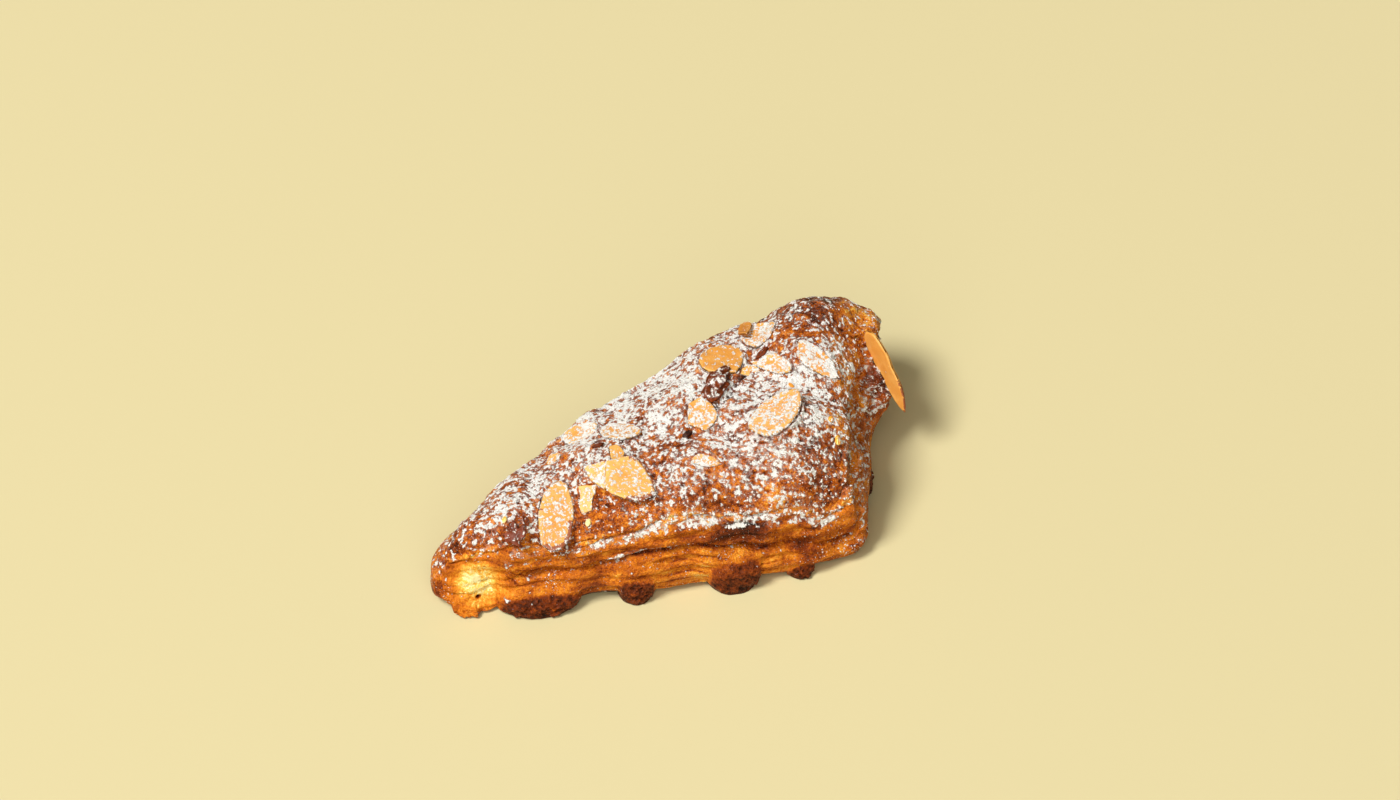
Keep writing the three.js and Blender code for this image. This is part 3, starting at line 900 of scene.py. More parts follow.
# %% The fold, and the foot
FOLD_DEPTH, FOLD_WIDTH = 0.8, 0.016
# How far a thin skirt and the tip's heel are pushed out over the table.
SKIRT_PUSH, HEEL_PUSH = 1.8, 3.2

relief = relief + 0.14 * noise(side, 1.5, 17) + (0.3 * leafy + 0.1) * noise(side, 5.5, 18)
fold = sides.front * leafy * smooth(-30, -14, x) * smooth(34, 12, x)
wander = 0.012 * noise(side * (1, 1, 0), 9, 19)
groove = bell(share - CREASE_SHARE - wander, FOLD_WIDTH) * fold
relief = (relief - FOLD_DEPTH * groove) * smooth(0.0, 0.02, share)
side_points = side + grid_normals(side) * relief[..., None]
on_front = sides.front * (1 - tongue)
skirt = smooth(-37, -33, x) * smooth(-15, -18, x) * on_front * bell(z - 0.5, 0.8)
heel = bell(x + 59.5, 4) * smooth(5, 0, z) * on_front
pushed = SKIRT_PUSH * skirt + HEEL_PUSH * heel
side_points[..., 0] -= pushed * sides.in_x
side_points[..., 1] -= pushed * sides.in_y
side_points[..., 2] = np.maximum(side_points[..., 2], 0)
print("relief of the side, mm:", relief.min().round(2), "to", relief.max().round(2))

# %% How dark the dough baked, and painted shade in its gaps, pores and hole
# Soft spots of baking on the sides: x, y, z, radius, height, value.
SIDE_TONES = [
    (-45, -38, 18, 11, 7, 0.45), (-33, -39, 14, 5, 3, 0.34), (-19, -39, 19, 9, 2.6, 0.48),
    (2, -41, 11, 12, 7, 0.37), (-27, -40, 8, 12, 5, 0.56), (0, -41, 5, 6, 2.4, 0.30),
    (15, -38, 22, 11, 4, 0.76),
    (38, -40, 14, 6, 6, 0.60), (30, -41, 6, 6, 4, 0.40), (45, -40, 5, 4, 3, 0.34),
    (54, -36, 12, 6, 8, 0.48), (-73, -28, 12, 7, 12, 0.40), (60, -20, 24, 12, 12, 0.42),
    (-27, -39, 2, 9, 2.2, 0.82), (-74, -30, 6, 3, 5, 0.60), (18, -41, 9, 12, 4, 0.36),
    (-52, -37, 12, 4, 4, 0.48),
    (72, 14, 22, 8, 9, 0.80), (72, 34, 32, 12, 8, 0.52),
]
DOUGH_BAKE = 0.41


def place_blobs(points, blobs, value):
    """Blends soft-edged spots of new value into a map: (x, y, z, radius, height, value)."""
    for x, y, z, radius, height, target in blobs:
        away = ((points[..., 0] - x) ** 2 + (points[..., 1] - y) ** 2) / radius ** 2
        away = away + (points[..., 2] - z) ** 2 / height ** 2
        value = mix(value, target, np.exp(-away ** 1.5))
    return value


bake = place_blobs(side, SIDE_TONES, np.full(side.shape[:2], DOUGH_BAKE))
bake = bake + 0.12 * noise(side, 13, 61) + 0.14 * noise(side * (1, 1, 1.6), 6, 62)
bake = bake + 0.12 * noise(side * (0.5, 0.5, 1.3), 2.4, 65)
# Darker in the gaps between leaves and in the fold's groove, lighter where a leaf stands out:
# painted shade.
bake = bake + 0.22 * gap * leafy - 0.16 * leaves * leafy + 0.24 * groove
# Drips baked dark; their pores are darker still, which is painted shade.
drip = 0.65 + 0.05 * smooth(9, 1, z) + 0.08 * noise(side, 3, 63) + 0.14 * np.clip(pores, 0, 1)
bake = mix(bake, mix(drip, 0.36, tip_crumb), smooth(0.1, 0.5, tongue))
ring = 0.36 * smooth(0.25, 1.35, distance) + 0.06 * fibres + 0.06 * noise(side, 3, 64)
# The tip's hole is darkened by 0.8 on the baking scale: painted shade inside it.
bake = mix(bake, ring, pale) + hole * 0.8
caught = 0.7 * smooth(1.6, 0.3, z) * (1 - pale) * (1 - 0.6 * tongue)
bake = mix(mix(bake, 0.85, caught), 0.82, skirt)
print("baking of the side, mean:", bake.mean().round(2))

# %% Sugar that the side caught


def ledge_sugar(points, share):
    """Sugar on the ledge under the crust, on the lower roll's top, and in a patch at the tip."""
    x = points[..., 0]
    lower = 0.125 + 0.05 * noise(points * (1, 1, 0), 4, 74)
    ledge = smooth(0.0, 0.03, share) * smooth(lower + 0.02, lower - 0.03, share)
    ledge = ledge * mix(0.48, 0.58, smooth(-12, -2, x)) * smooth(-40, -32, x) * smooth(50, 45, x)
    roll = 0.6 * bell(share - 0.35, 0.03) * smooth(-26, -19, x) * smooth(4, -3, x)
    patch = 0.42 * bell(x + 52, 9) * bell(share - 0.12, 0.10)
    patch = patch * smooth(0.0, 0.4, noise(points * (1, 1, 1.6), 4, 75))
    return (ledge + roll + patch) * np.clip(0.95 + 0.8 * noise(points, 5, 71), 0, 1.1)


facing_up = smooth(0.25, 0.9, grid_normals(side_points)[..., 2]) * (1 - 0.8 * sides.front)
sugar = ledge_sugar(side, share) * sides.front + facing_up * (0.30 + 0.25 * noise(side, 6, 72))
sugar = np.maximum(sugar, shoulder * 0.26) * (1 - pale) * (1 - tongue)
specks = 0.95 + 0.7 * noise(side, 9, 73) - 1.0 * pale + skirt - 0.9 * tongue
print("sugar covers", round(100 * sugar.mean()), "% of the side")

# %% The dough's mesh
TOP_ROWS, TOP_SINK = 7, 0.5

top = top_surface(sides, 1 - (1 - np.arange(TOP_ROWS) / TOP_ROWS) ** 1.25)
top[..., 2] -= TOP_SINK
base = mix(side_points[:, -1:, :2], sides.spine[:, None], np.array([[0.4], [1.0]]))
base = np.dstack([base, np.zeros(base.shape[:2])])
dough_points = held_in(np.concatenate([top, side_points, base], 1))
dough_maps = {
    "bake": bake, "sugar": sugar, "calm": 1 - leafy * (1 - shoulder), "specks": specks,
    "layers": np.stack([x / 2.2, y / 2.2, layer * 1.2], -1),
}
dough_maps = with_powder(dough_points, pad_rows(dough_maps, top.shape[1], base.shape[1]))
dough = make_piece(
    "laminated_dough", dough_points, dough_maps, zipped, "dough", dough_material,
)
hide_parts("dough")

# %% [markdown]
# ## Where the almonds lie
#
# The CAD model holds each sliced almond as a small flat solid. Its points tell all that is
# needed: they spread most along the slice, less across it, and least through it, which the
# singular value decomposition turns into three axes. The outline around its middle becomes a
# table of radius by angle, for a finer slice and for the dents that the slices press in the
# cream. A slice that broke gets a torn outline of its own instead.

# %% Outlines as a radius for each angle
SLICE_ANGLES = np.arange(112) * 2 * math.pi / 112
SLICE_RAYS = np.stack([np.cos(SLICE_ANGLES), np.sin(SLICE_ANGLES)], -1)


def hull_radius(flat):
    """Radius of the convex outline of points, at each angle: the nearest edge line that faces it.

    A line with outward normal n that holds the points at distance d is met at d / (n . ray).
    """
    reach = (flat @ SLICE_RAYS.T).max(0)
    facing = SLICE_RAYS @ SLICE_RAYS.T
    return np.where(facing > 0.05, reach[None, :] / np.maximum(facing, 0.05), 99).min(1)


def cross_2d(p, q):
    """Cross product of vectors in the plane."""
    return p[..., 0] * q[..., 1] - p[..., 1] * q[..., 0]


def outline_radius(corners):
    """Radius of a closed line of corners, at each angle, for a line that goes round once.

    A ray from the middle meets the side from a to b at cross(a, b) / cross(ray, b - a).
    """
    rays = SLICE_RAYS[:, None]
    a, b = corners[None], np.roll(corners, -1, 0)[None]
    facing = cross_2d(rays, b - a)
    facing = np.where(np.abs(facing) < 1e-9, 1e-9, facing)
    reach, place = cross_2d(a, b) / facing, cross_2d(a, rays) / facing
    hit = (place > -1e-6) & (place < 1 + 1e-6) & (reach > 0)
    return np.where(hit, reach, 0).max(1)


square = np.array([(1, 1), (-1, 1), (-1, -1), (1, -1)], float)
print("a square's radius:", outline_radius(square).min().round(2), "to",
      outline_radius(square).max().round(2))

# %% Torn outlines
# Torn outlines as seen from above, for the slices that broke: x and y of their corners.
TORN_OUTLINES = {
    1: [(-39, -21), (-36, -18.5), (-33.5, -18), (-31.5, -19.5), (-31, -23.5), (-31, -28),
        (-32.5, -32.5), (-34, -36.5), (-37, -39), (-40.5, -39.5), (-43, -36.5),
        (-43, -32.5), (-42, -27)],
    2: [(-19.5, -18), (-14, -17.5), (-11, -17.5), (-10, -19.5), (-8.5, -22.5), (-7.5, -26.5),
        (-7, -30.5), (-7, -32.5), (-9, -33.5), (-11.5, -34.5), (-14.5, -33.5), (-17.5, -32),
        (-20, -30), (-22, -27.5)],
    3: [(-26, -16.5), (-23, -17), (-19.5, -17), (-19, -20), (-21, -26.5), (-23.5, -23.5),
        (-25, -21), (-25.5, -18.5)],
    4: [(-17.5, -12.5), (-15, -11.5), (-13.5, -13), (-13, -14.5), (-14, -16.5), (-18, -17),
        (-17.5, -14)],
    5: [(-28.5, -21.5), (-23, -23), (-24, -25), (-25, -26), (-26, -29.5), (-29, -29.5),
        (-29.5, -27), (-28.5, -24.5)],
    9: [(15.5, 13.5), (17.5, 17.5), (20.5, 19.5), (24, 20.5), (27, 20), (29.5, 18), (30, 14.5),
        (29, 11), (27.5, 8), (25.5, 5.5), (22.5, 6), (19.5, 7), (17.5, 8), (16, 10)],
    10: [(30.5, 20), (31.5, 17.5), (33.5, 16), (35, 16), (37.5, 17), (39.5, 19), (41, 22),
         (42, 24.5), (41.5, 25.5), (38.5, 26), (36, 27.5), (34, 25.5), (32, 23)],
    11: [(30, 23), (31.5, 27), (33, 28), (34.5, 27.5), (35, 26), (34, 23), (32, 19),
         (29.5, 20.5)],
    12: [(31, 11.5), (34, 10), (35.5, 10.5), (37.5, 10.5), (39, 10), (40, 8), (41.5, 6),
         (42.5, 3.5), (41.5, 1.5), (39, 2), (37, 4), (34.5, 6.5), (33, 9)],
    13: [(27, 6.5), (28, 8.5), (30, 9.5), (32, 9), (33.5, 7), (32, 6), (29.5, 5.5)],
    16: [(13, -3), (16, -6.5), (17, -9.5), (15, -12.5), (12, -14), (7, -11), (8.5, -5)],
    18: [(-53, -30.5), (-51.5, -30), (-49.5, -30), (-48.5, -32), (-46.5, -32.5),
         (-46, -33.5), (-46.5, -35), (-47.5, -35.5), (-47.5, -37), (-49, -35.5), (-50.5, -34),
         (-52, -32.5)],
}
# How far a slice is lifted off its solid's place, in millimetres.
SLICE_LIFT = {11: 0.1, 3: 0.3, 4: 0.5, 13: -0.4, 18: 0.9}
print(len(TORN_OUTLINES), "slices are torn")

# %% Read the slices
# The side of a slice that is its face is the one towards a viewer in front and above.
VIEWER = np.array([-0.15, -0.69, 0.71])
NARROW_SLICE, NARROWING = 19, 0.3
# A torn slice keeps only this share of its solid's bend.
TORN_BEND = 0.4


def quadratic(x, y):
    """The terms 1, x, y, x^2, xy and y^2 of a gently bent sheet."""
    return np.stack([np.ones_like(x), x, y, x * x, x * y, y * y], -1)


class Slice:
    """A sliced almond's middle, axes, size and outline, from its CAD solid."""

    def __init__(self, number, name):
        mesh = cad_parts[name].data
        points = np.empty(len(mesh.vertices) * 3)
        mesh.vertices.foreach_get("co", points)
        points = np.unique((points.reshape(-1, 3) / MM).round(3), axis=0)
        self.name = name
        self.middle = points.mean(0)
        axes = np.linalg.svd(points - self.middle, full_matrices=False)[2]
        if axes[2] @ VIEWER < 0:
            axes[2] *= -1
        axes[1] = np.cross(axes[2], axes[0])
        self.axes = axes
        x, y, z = ((points - self.middle) @ axes.T).T
        self.bend = np.linalg.lstsq(quadratic(x, y), z, rcond=None)[0]
        self.thickness = 2 * np.abs(z - quadratic(x, y) @ self.bend).mean()
        self.offset = np.zeros(2)
        self.radius = hull_radius(np.stack([x, y], -1))
        if number == NARROW_SLICE:
            self.radius = self.radius * (1 - NARROWING * SLICE_RAYS[:, 1] ** 2)
        if number in TORN_OUTLINES:
            self.tear(np.array(TORN_OUTLINES[number], float))
        self.middle = self.middle + SLICE_LIFT.get(number, 0.0) * axes[2]
        self.length = 2 * self.radius.max()

    def tear(self, corners):
        """Takes a torn outline: its corners are dropped on to the slice's plane from above."""
        flat_axes = self.axes[:2, :2].T
        flat = np.linalg.solve(flat_axes, (corners - self.middle[:2]).T).T
        self.offset = (flat.max(0) + flat.min(0)) / 2
        self.radius = outline_radius(flat - self.offset)
        self.middle = self.middle + self.offset @ self.axes[:2]
        self.bend[3:] *= TORN_BEND

    def bent(self, x, y):
        """Height of the slice's middle sheet: a quadratic fitted to the solid."""
        return quadratic(x + self.offset[0], y + self.offset[1]) @ self.bend

    def local(self, points):
        """Distance from the middle as a share of the rim, height over the sheet, and rim."""
        place = (points - self.middle) @ self.axes.T
        angle = np.arctan2(place[..., 1], place[..., 0])
        rim = np.interp(angle, SLICE_ANGLES, self.radius, period=2 * math.pi)
        share = np.hypot(place[..., 0], place[..., 1]) / rim
        height = place[..., 2] - self.bent(place[..., 0], place[..., 1])
        return share, height, rim


slice_names = [name for name in sorted(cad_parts) if name.startswith("almond_slice")]
slices = [Slice(number, name) for number, name in enumerate(slice_names, 1)]
print(len(slices), "slices, lengths", [round(s.length, 1) for s in slices])

# %% [markdown]
# ## The crust of almond cream
#
# Almond cream bakes like a macaroon: it swells, sets with a fine grain and cracks. The crust is
# the dome's surface raised by its thickness, plus rolling noise, pebbles, a few pores, and cracks
# along broken lines. A bump in the material would leave its outline smooth, so all but the finest
# grain is real. Under each almond the crust is pressed down, and just outside the almond's rim it
# rises to grip it. At its edge it thins out over the dough.

# %% Crust relief
CRACKS = [[(17, -7), (22, -2), (25, 3), (29, 7)], [(-12, -9), (-8, -10)]]
CRACK_WIDTH, CRACK_DEPTH, PORE_DEPTH = 0.8, 1.2, 0.7
# Small humps and dents of the crust: x, y, radius, rise.
HUMPS = [(48, 30, 5, 1.6), (41, 32, 4, -0.9), (66, 30, 4, 0.8)]


def crack_depth(x, y):
    """0 away from the cracks and 1 in them: distance to the nearest piece of a broken line."""
    nearest = np.full(x.shape, 99.0)
    for line in CRACKS:
        for (ax, ay), (bx, by) in zip(line, line[1:]):
            dx, dy = bx - ax, by - ay
            t = np.clip(((x - ax) * dx + (y - ay) * dy) / (dx * dx + dy * dy), 0, 1)
            nearest = np.minimum(nearest, np.hypot(x - ax - t * dx, y - ay - t * dy))
    return bell(nearest, CRACK_WIDTH)


def crust_relief(points):
    """Rolling noise, pebbles, rare pores and cracks, in millimetres outwards."""
    x, y = points[..., 0], points[..., 1]
    rolling = 0.62 * noise(points, 9, 81) + 0.46 * noise(points, 4.4, 82)
    rolling = add_hills(rolling, x, y, HUMPS)
    pebbles = 0.26 * (0.62 - cells(points, 2.6, 83)) + 0.20 * (0.62 - cells(points, 1.3, 84))
    rough = 0.24 * noise(points, 2.0, 89) + 0.16 * noise(points, 0.95, 88)
    crack = crack_depth(x + 1.2 * noise(points, 7, 85), y + 1.2 * noise(points, 7, 86))
    pores = smooth(0.34, 0.12, cells(points, 2.9, 87)) * smooth(0.1, 0.5, noise(points, 7, 90))
    relief = rolling + pebbles + rough - PORE_DEPTH * pores - CRACK_DEPTH * crack
    return relief, np.clip(crack + pores, 0, 1)


print("cracks on the crust:", len(CRACKS))

# %% Dents under the almonds
CLEARANCE = 0.05


def press_slices(points, normals):
    """Lowers the crust under the almonds and raises it a little around them."""
    covered = np.zeros(points.shape[:-1], bool)
    for s in slices:
        share, height, rim = s.local(points)
        under = s.thickness / 2 + CLEARANCE
        inside = (share < 1.02) & (height > -under) & (height < 4)
        drop = np.where(inside, height + under, 0)
        upright = np.clip(np.abs(normals @ s.axes[2]), 0.5, 1)
        points = points - normals * (drop / upright)[..., None]
        grip = bell((share - 1) * rim - 0.35, 0.6) * (share > 1)
        lift = np.clip(0.1 - height, 0, 1.2) * grip * (height > -2.5)
        points = points + normals * lift[..., None]
        covered |= (share < 0.93) & (height < 0.6) & (height > -5)
    return points, covered


print("an almond's bed is", CLEARANCE, "mm deeper than the almond")

# %% The crust's surface
CREAM_COLUMNS = 860
CREAM_ROWS = 100
# Thickness of the cream on the dome, and at its rim and edge: at the back, and at the front.
CREAM_THICKNESS, RIM_THICKNESS, EDGE_THICKNESS = 2.8, (2.3, 1.3), (1.1, 0.35)
# How far down the side the edge reaches, least and most, and how ragged it is.
CREAM_EDGE, RAGGED_EDGE = (0.25 * RIM_SHARE, 0.9 * RIM_SHARE), 0.012
EDGE_SHARES = np.linspace(0.12, 1, 7)

crust = Columns(CREAM_COLUMNS)
top = top_surface(crust, np.linspace(0, 1, CREAM_ROWS))
reach = 0.5 + 0.5 * np.tanh(1.2 * lumps(crust.x, crust.y, 15, 5))
ragged = 1 + noise(np.stack([crust.x, crust.y, 0 * crust.x], -1), 4, 91)
edge = mix(*CREAM_EDGE, reach) + RAGGED_EDGE * ragged
side = side_surface(crust, edge * EDGE_SHARES)[0]
base = np.concatenate([top, side], 1)
normal = grid_normals(base)
rows = np.arange(base.shape[1])
past_rim = np.clip((rows - CREAM_ROWS + 1) / len(EDGE_SHARES), 0, 1)
near_rim = smooth(CREAM_ROWS - 16, CREAM_ROWS, rows)
thickness = mix(CREAM_THICKNESS, mix(*RIM_THICKNESS, crust.front), near_rim)
thickness = mix(thickness, mix(*EDGE_THICKNESS, crust.front), past_rim ** 2)
upper = base + normal * thickness[..., None]
relief, pits = crust_relief(upper)
relief = relief * (1 - 0.6 * past_rim)
upper, covered = press_slices(upper + normal * relief[..., None], normal)
upper = held_in(upper)
print("crust relief, mm:", relief.min().round(2), "to", relief.max().round(2))

# %% How dark the crust baked, and painted shade in its hollows, pores and cracks
# Soft spots of baking on the crust: x, y, z, radius, height, value.
CREAM_TONES = [
    (20, -30, 32, 16, 30, 0.55), (46, -26, 34, 10, 30, 0.60), (-16, -31, 30, 12, 30, 0.54),
    (54, 30, 46, 12, 30, 0.72), (-52, -31, 25, 13, 30, 0.50), (-68, -24, 25, 8, 30, 0.62),
    (20, 8, 42, 14, 30, 0.56), (58, 2, 38, 6, 30, 0.34), (54, -16, 34, 6, 30, 0.32),
    (10, 22, 38, 14, 30, 0.52), (-28, 0, 30, 12, 30, 0.50), (28, -36, 27, 4, 30, 0.30),
    (62, 12, 40, 6, 30, 0.40), (69, 27, 40, 8, 30, 0.30),
]
CREAM_BAKE, FRONT_BAKE, LIP_BAKE = 0.55, 0.50, 0.26


def from_row(before, after):
    """0 up to a number of rows before the rim, and 1 from a number of rows after it."""
    return smooth(CREAM_ROWS - before, CREAM_ROWS + after, rows)


bake = place_blobs(upper, CREAM_TONES, np.full(upper.shape[:2], CREAM_BAKE))
bake = bake + 0.09 * noise(upper, 8, 92) + 0.08 * noise(upper, 3, 93)
# Darker where the crust lies low and in its pores and cracks: painted shade.
bake = bake - 0.09 * relief + 0.2 * pits
lip = from_row(5, 2) * crust.front * smooth(-0.5, 0.2, noise(upper, 6, 96))
bake = mix(mix(bake, FRONT_BAKE, 0.7 * from_row(12, 3) * crust.front), LIP_BAKE, 0.8 * lip)
print("baking of the crust, mean:", bake.mean().round(2))

# %% How sugar fell on the crust
# Sugar on the crust: x, y, radius, share.
SUGAR_SPOTS = [
    (-58, -22, 10, 0.50), (-52, -35, 7, 0.22), (-62, -26, 7, 0.14), (-70, -26, 6, 0.04),
    (-40, -14, 12, 0.50), (-30, -4, 12, 0.56),
    (-12, 2, 14, 0.62), (6, 10, 15, 0.62), (-14, -14, 9, 0.40), (-24, -33, 9, 0.12),
    (-6, -33, 9, 0.22), (12, -20, 14, 0.40), (14, -34, 12, 0.18), (34, -30, 9, 0.36),
    (30, -27, 5, 0.64), (46, -31, 8, 0.22), (22, -9, 5, 0.80), (13, 9, 6, 0.78),
    (26, -12, 14, 0.62), (26, 4, 13, 0.66), (42, -10, 12, 0.74), (50, -22, 9, 0.34),
    (28, 22, 12, 0.50), (40, 32, 10, 0.36), (56, 36, 12, 0.20), (62, 22, 10, 0.20),
    (54, 4, 9, 0.56), (46, 16, 9, 0.20), (68, 26, 8, 0.16), (60, -6, 8, 0.22),
    (52, -8, 5, 0.40),
]


def spot_map(x, y, spots, spare):
    """A smooth map from spots: each counts by its nearness, and spare fills what is far away."""
    total, weight = np.full(x.shape, spare * 0.02), np.full(x.shape, 0.02)
    for sx, sy, radius, value in spots:
        near = bell(distance_to((sx, sy), x, y), 0.7 * radius)
        total += near * value
        weight += near
    return total / weight


sugar = spot_map(upper[..., 0], upper[..., 1], SUGAR_SPOTS, 0.4)
facing_up = grid_normals(upper)[..., 2]
sugar = sugar * smooth(-0.1, 0.7, facing_up) * (1.0 + 0.5 * noise(upper, 7, 94))
over_ledge = 0.34 * from_row(9, 1) * crust.front
sugar = np.maximum(sugar, over_ledge * smooth(-14, -4, upper[..., 0])) * (1 - 0.6 * pits)
print("sugar covers", round(100 * sugar.mean()), "% of the crust")

# %% The crust's mesh
EDGE_TUCK, INNER_SINK, DOME_SINK = 0.3, 0.5, 0.4

turned = side[:, -1:] - normal[:, -1:] * EDGE_TUCK
inner_side = side_surface(crust, edge * np.array([0.85, 0.4, 0.0]))[0]
inner_side = inner_side - normal[:, -3:] * INNER_SINK
inner_top = top_surface(crust, [0.8, 0.5, 0.2, 0.0]) - (0, 0, DOME_SINK)
cream_points = np.concatenate([upper, turned, inner_side, inner_top], 1)
hidden_rows = cream_points.shape[1] - upper.shape[1]
cream_maps = {"bake": bake, "sugar": sugar, "specks": 1.0 + 0.4 * noise(upper, 9, 95)}
cream_maps = with_powder(cream_points, pad_rows(cream_maps, 0, hidden_rows))
film = bell(cream_points[..., 0] - 18, 26) * bell(cream_points[..., 1] + 26, 9)
cream_maps["dust"] = cream_maps["dust"] + 0.16 * film
cream_covered = np.pad(covered, [(0, 0), (0, hidden_rows)], constant_values=True)
cream = make_piece(
    "almond_cream_crust", cream_points, cream_maps, zipped, "cream", crust_material,
)
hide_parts("almond_cream")

# %% [markdown]
# ## The sliced almonds
#
# A slice is cut through the nut, so its face is smooth and tan, with faint lines along it and
# a slightly darker heart. Its thin rim lets light through and looks pale. Where the knife left
# the brown skin on, a dark band follows the rim. Each slice is a grid of rings around its middle,
# out over the upper face, round the edge and back, and thin slices curl as they toast.

# %% Almond finish
SKIN_FADE = (0.5, 0.66)


def almond_colours(name, pale, toasted, heart, skin):
    """A smooth nut face: grain lines along the slice, a darker heart, and a skin at the rim."""
    f = Finish(name)
    pale, toasted, heart, skin = ((*colour, 1) for colour in (pale, toasted, heart, skin))
    grain = f.noise(1.0, 3.0, 0.6, f.map("face_place", "Vector"))
    cloud = f.noise(3.6, 4.0, 0.65, seed=6.0)
    fine = f.noise(0.8, 3.0, 0.6, seed=9.0)
    uneven = weigh((cloud, 2.2), (fine, 0.8), (grain, 0.45))
    colour = f.blend(pale, toasted, f.math("ADD", f.map("toast"), uneven, clamp=True))
    colour = f.blend(colour, heart, f.map("heart") * 0.4)
    skin_edge = f.map("skin") + weigh((fine, 1.4), (cloud, 1.2))
    colour, white = add_sugar(f, f.blend(colour, skin, f.ease(skin_edge, *SKIN_FADE)))
    height = weigh((grain, 0.25), (fine, 0.5), (cloud, 0.9)) + white * 0.6
    return f.done({
        "Base Color": colour, "Roughness": 0.45, "Specular IOR Level": 0.3,
        "Normal": f.bump(height, 0.3), "Subsurface Weight": 0.12,
        "Subsurface Scale": 0.0012, "Subsurface Radius": (1.0, 0.6, 0.3),
    })


almond_material = almond_colours(
    "toasted_almond", (0.90, 0.50, 0.135), (0.78, 0.33, 0.055), (0.60, 0.22, 0.03),
    (0.33, 0.085, 0.028),
)
browned_material = almond_colours(
    "browned_almond", (0.80, 0.36, 0.060), (0.58, 0.19, 0.024), (0.45, 0.14, 0.02),
    (0.20, 0.050, 0.014),
)
skin_material = almond_colours(
    "almond_skin", (0.26, 0.048, 0.014), (0.085, 0.015, 0.006), (0.05, 0.012, 0.006),
    (0.42, 0.12, 0.03),
)
print("nut finishes:", almond_material.name, browned_material.name, skin_material.name)

# %% Slices
SLICE_RINGS = 24
# What differs from slice to slice, by number: share under sugar, how toasted, how much skin the
# rim keeps, how torn the outline is, and how far the rim curls up, in millimetres.
SLICE_LOOKS = {
    1: (0.30, 0.66, 1.0, 0.03, 0.2), 2: (0.30, 0.25, 0.9, 0.03, 0.4),
    3: (0.44, 0.15, 0.0, 0.05, 0.3), 4: (0.14, 0.45, 0.0, 0.08, 0.3),
    5: (0.30, 0.25, 0.0, 0.06, 0.3), 6: (0.55, 0.40, 0.2, 0.05, 0.2),
    7: (0.40, 0.60, 0.0, 0.20, 0.2), 8: (0.62, 0.70, 0.3, 0.10, 0.1),
    9: (0.14, 0.70, 0.2, 0.03, 0.4), 10: (0.60, 0.60, 0.1, 0.03, 1.0),
    11: (0.08, 0.50, 0.0, 0.05, 0.3), 12: (0.46, 0.65, 0.0, 0.06, 0.9),
    13: (0.40, 0.35, 0.9, 0.05, 0.4), 14: (0.64, 1.10, 0.1, 0.22, 0.4),
    15: (0.52, 0.50, 0.3, 0.04, 0.1), 16: (0.46, 0.85, 0.2, 0.06, 0.4),
    17: (0.56, 0.90, 0.0, 0.20, 0.0), 18: (0.14, 0.50, 0.3, 0.30, 1.8),
    19: (0.10, 0.60, 0.5, 0.01, 0.1), 20: (0.20, 0.60, 0.5, 0.10, 0.3),
}
SLICE_MATERIALS = {11: browned_material, 18: skin_material}
NUT_FINENESS = 1.6
# Shares of the half thickness that close the rim between the two faces.
RIM_STEPS = [0.45, 0, -0.45]
# The rim keeps its skin on the side that lies this way.
LOW_SIDE = np.array([0.25, -0.6, -0.75])


def slice_grid(s, number):
    """Points of one slice and its maps: rings out, over the edge and back."""
    sugar_share, toast, skin_share, torn, curl = SLICE_LOOKS[number]
    out = 1 - (1 - np.linspace(0, 1, SLICE_RINGS)) ** 1.3
    share = np.concatenate([out, [1.0, 1.0, 1.0], out[::-1]])
    roundness = np.sqrt(1 - out ** 24)
    through = np.concatenate([roundness, RIM_STEPS, -roundness[::-1]])
    share = share * (1 - 0.02 * (np.abs(through) > 0.3) * (share > 0.98))
    turn = np.column_stack([SLICE_RAYS, np.full(len(SLICE_RAYS), number * 9)])
    ragged = 0.8 * np.clip(0.35 + noise(turn, 0.55, 3), 0, 1) + 0.5 * np.abs(noise(turn, 0.2, 8))
    radius = (s.radius * (1 - torn * ragged))[:, None]
    x, y = SLICE_RAYS.T[..., None] * radius * share
    flat = np.stack([x, y, np.full_like(x, number * 20)], -1)
    lifted = curl * np.clip(0.3 + 1.4 * noise(turn, 1.1, 9), 0, 1.2)[:, None] * share ** 3
    crumple = (0.10 + 1.5 * torn) * noise(flat, 5, 4) + (0.04 + 0.5 * torn) * noise(flat, 2.5, 5)
    z = s.bent(x, y) + crumple + lifted + through * s.thickness / 2
    points = held_in(s.middle + np.stack([x, y, z], -1) @ s.axes)

    beside = (1 - share) * radius
    low_side = smooth(0.35, 0.85, (turn * (1, 1, 0) @ s.axes) @ LOW_SIDE)
    keeps_skin = np.clip(low_side + smooth(0.35, 0.7, noise(turn, 0.7, 6)), 0, 1)[:, None]
    skin = keeps_skin * skin_share * smooth(0.6 + 2.4 * skin_share, 0.3, beside) * 1.3
    heart = bell(x, 0.30 * s.length) * bell(y, 1.3) * smooth(-0.3, 0.5, noise(flat, 5, 7))
    facing_up = smooth(0.1, 0.7, s.axes[2, 2] * np.sign(through + 1e-6))
    maps = {
        "skin": skin, "heart": heart, "specks": np.full_like(x, 0.6),
        "sugar": sugar_share * facing_up * (1.0 + 0.8 * noise(flat, 4, 10)),
        # More toasted inside, paler within 2.6 mm of the rim: the pale rim is painted light, for
        # light through the thin edge.
        "toast": toast - 0.15 + 0.40 * smooth(0.0, 2.6, beside),
        "face_place": np.stack([x / 5, y / 0.8, np.full_like(x, number)], -1),
    }
    return points, with_powder(points, maps, NUT_FINENESS)


slice_grids = [slice_grid(s, number) for number, s in enumerate(slices, 1)]
for number, (s, (points, maps)) in enumerate(zip(slices, slice_grids), 1):
    made = make_piece(f"sliced_almond_{number:02d}", points, maps, closed_rings, "almond",
                      SLICE_MATERIALS.get(number, almond_material))
    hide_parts(s.name)

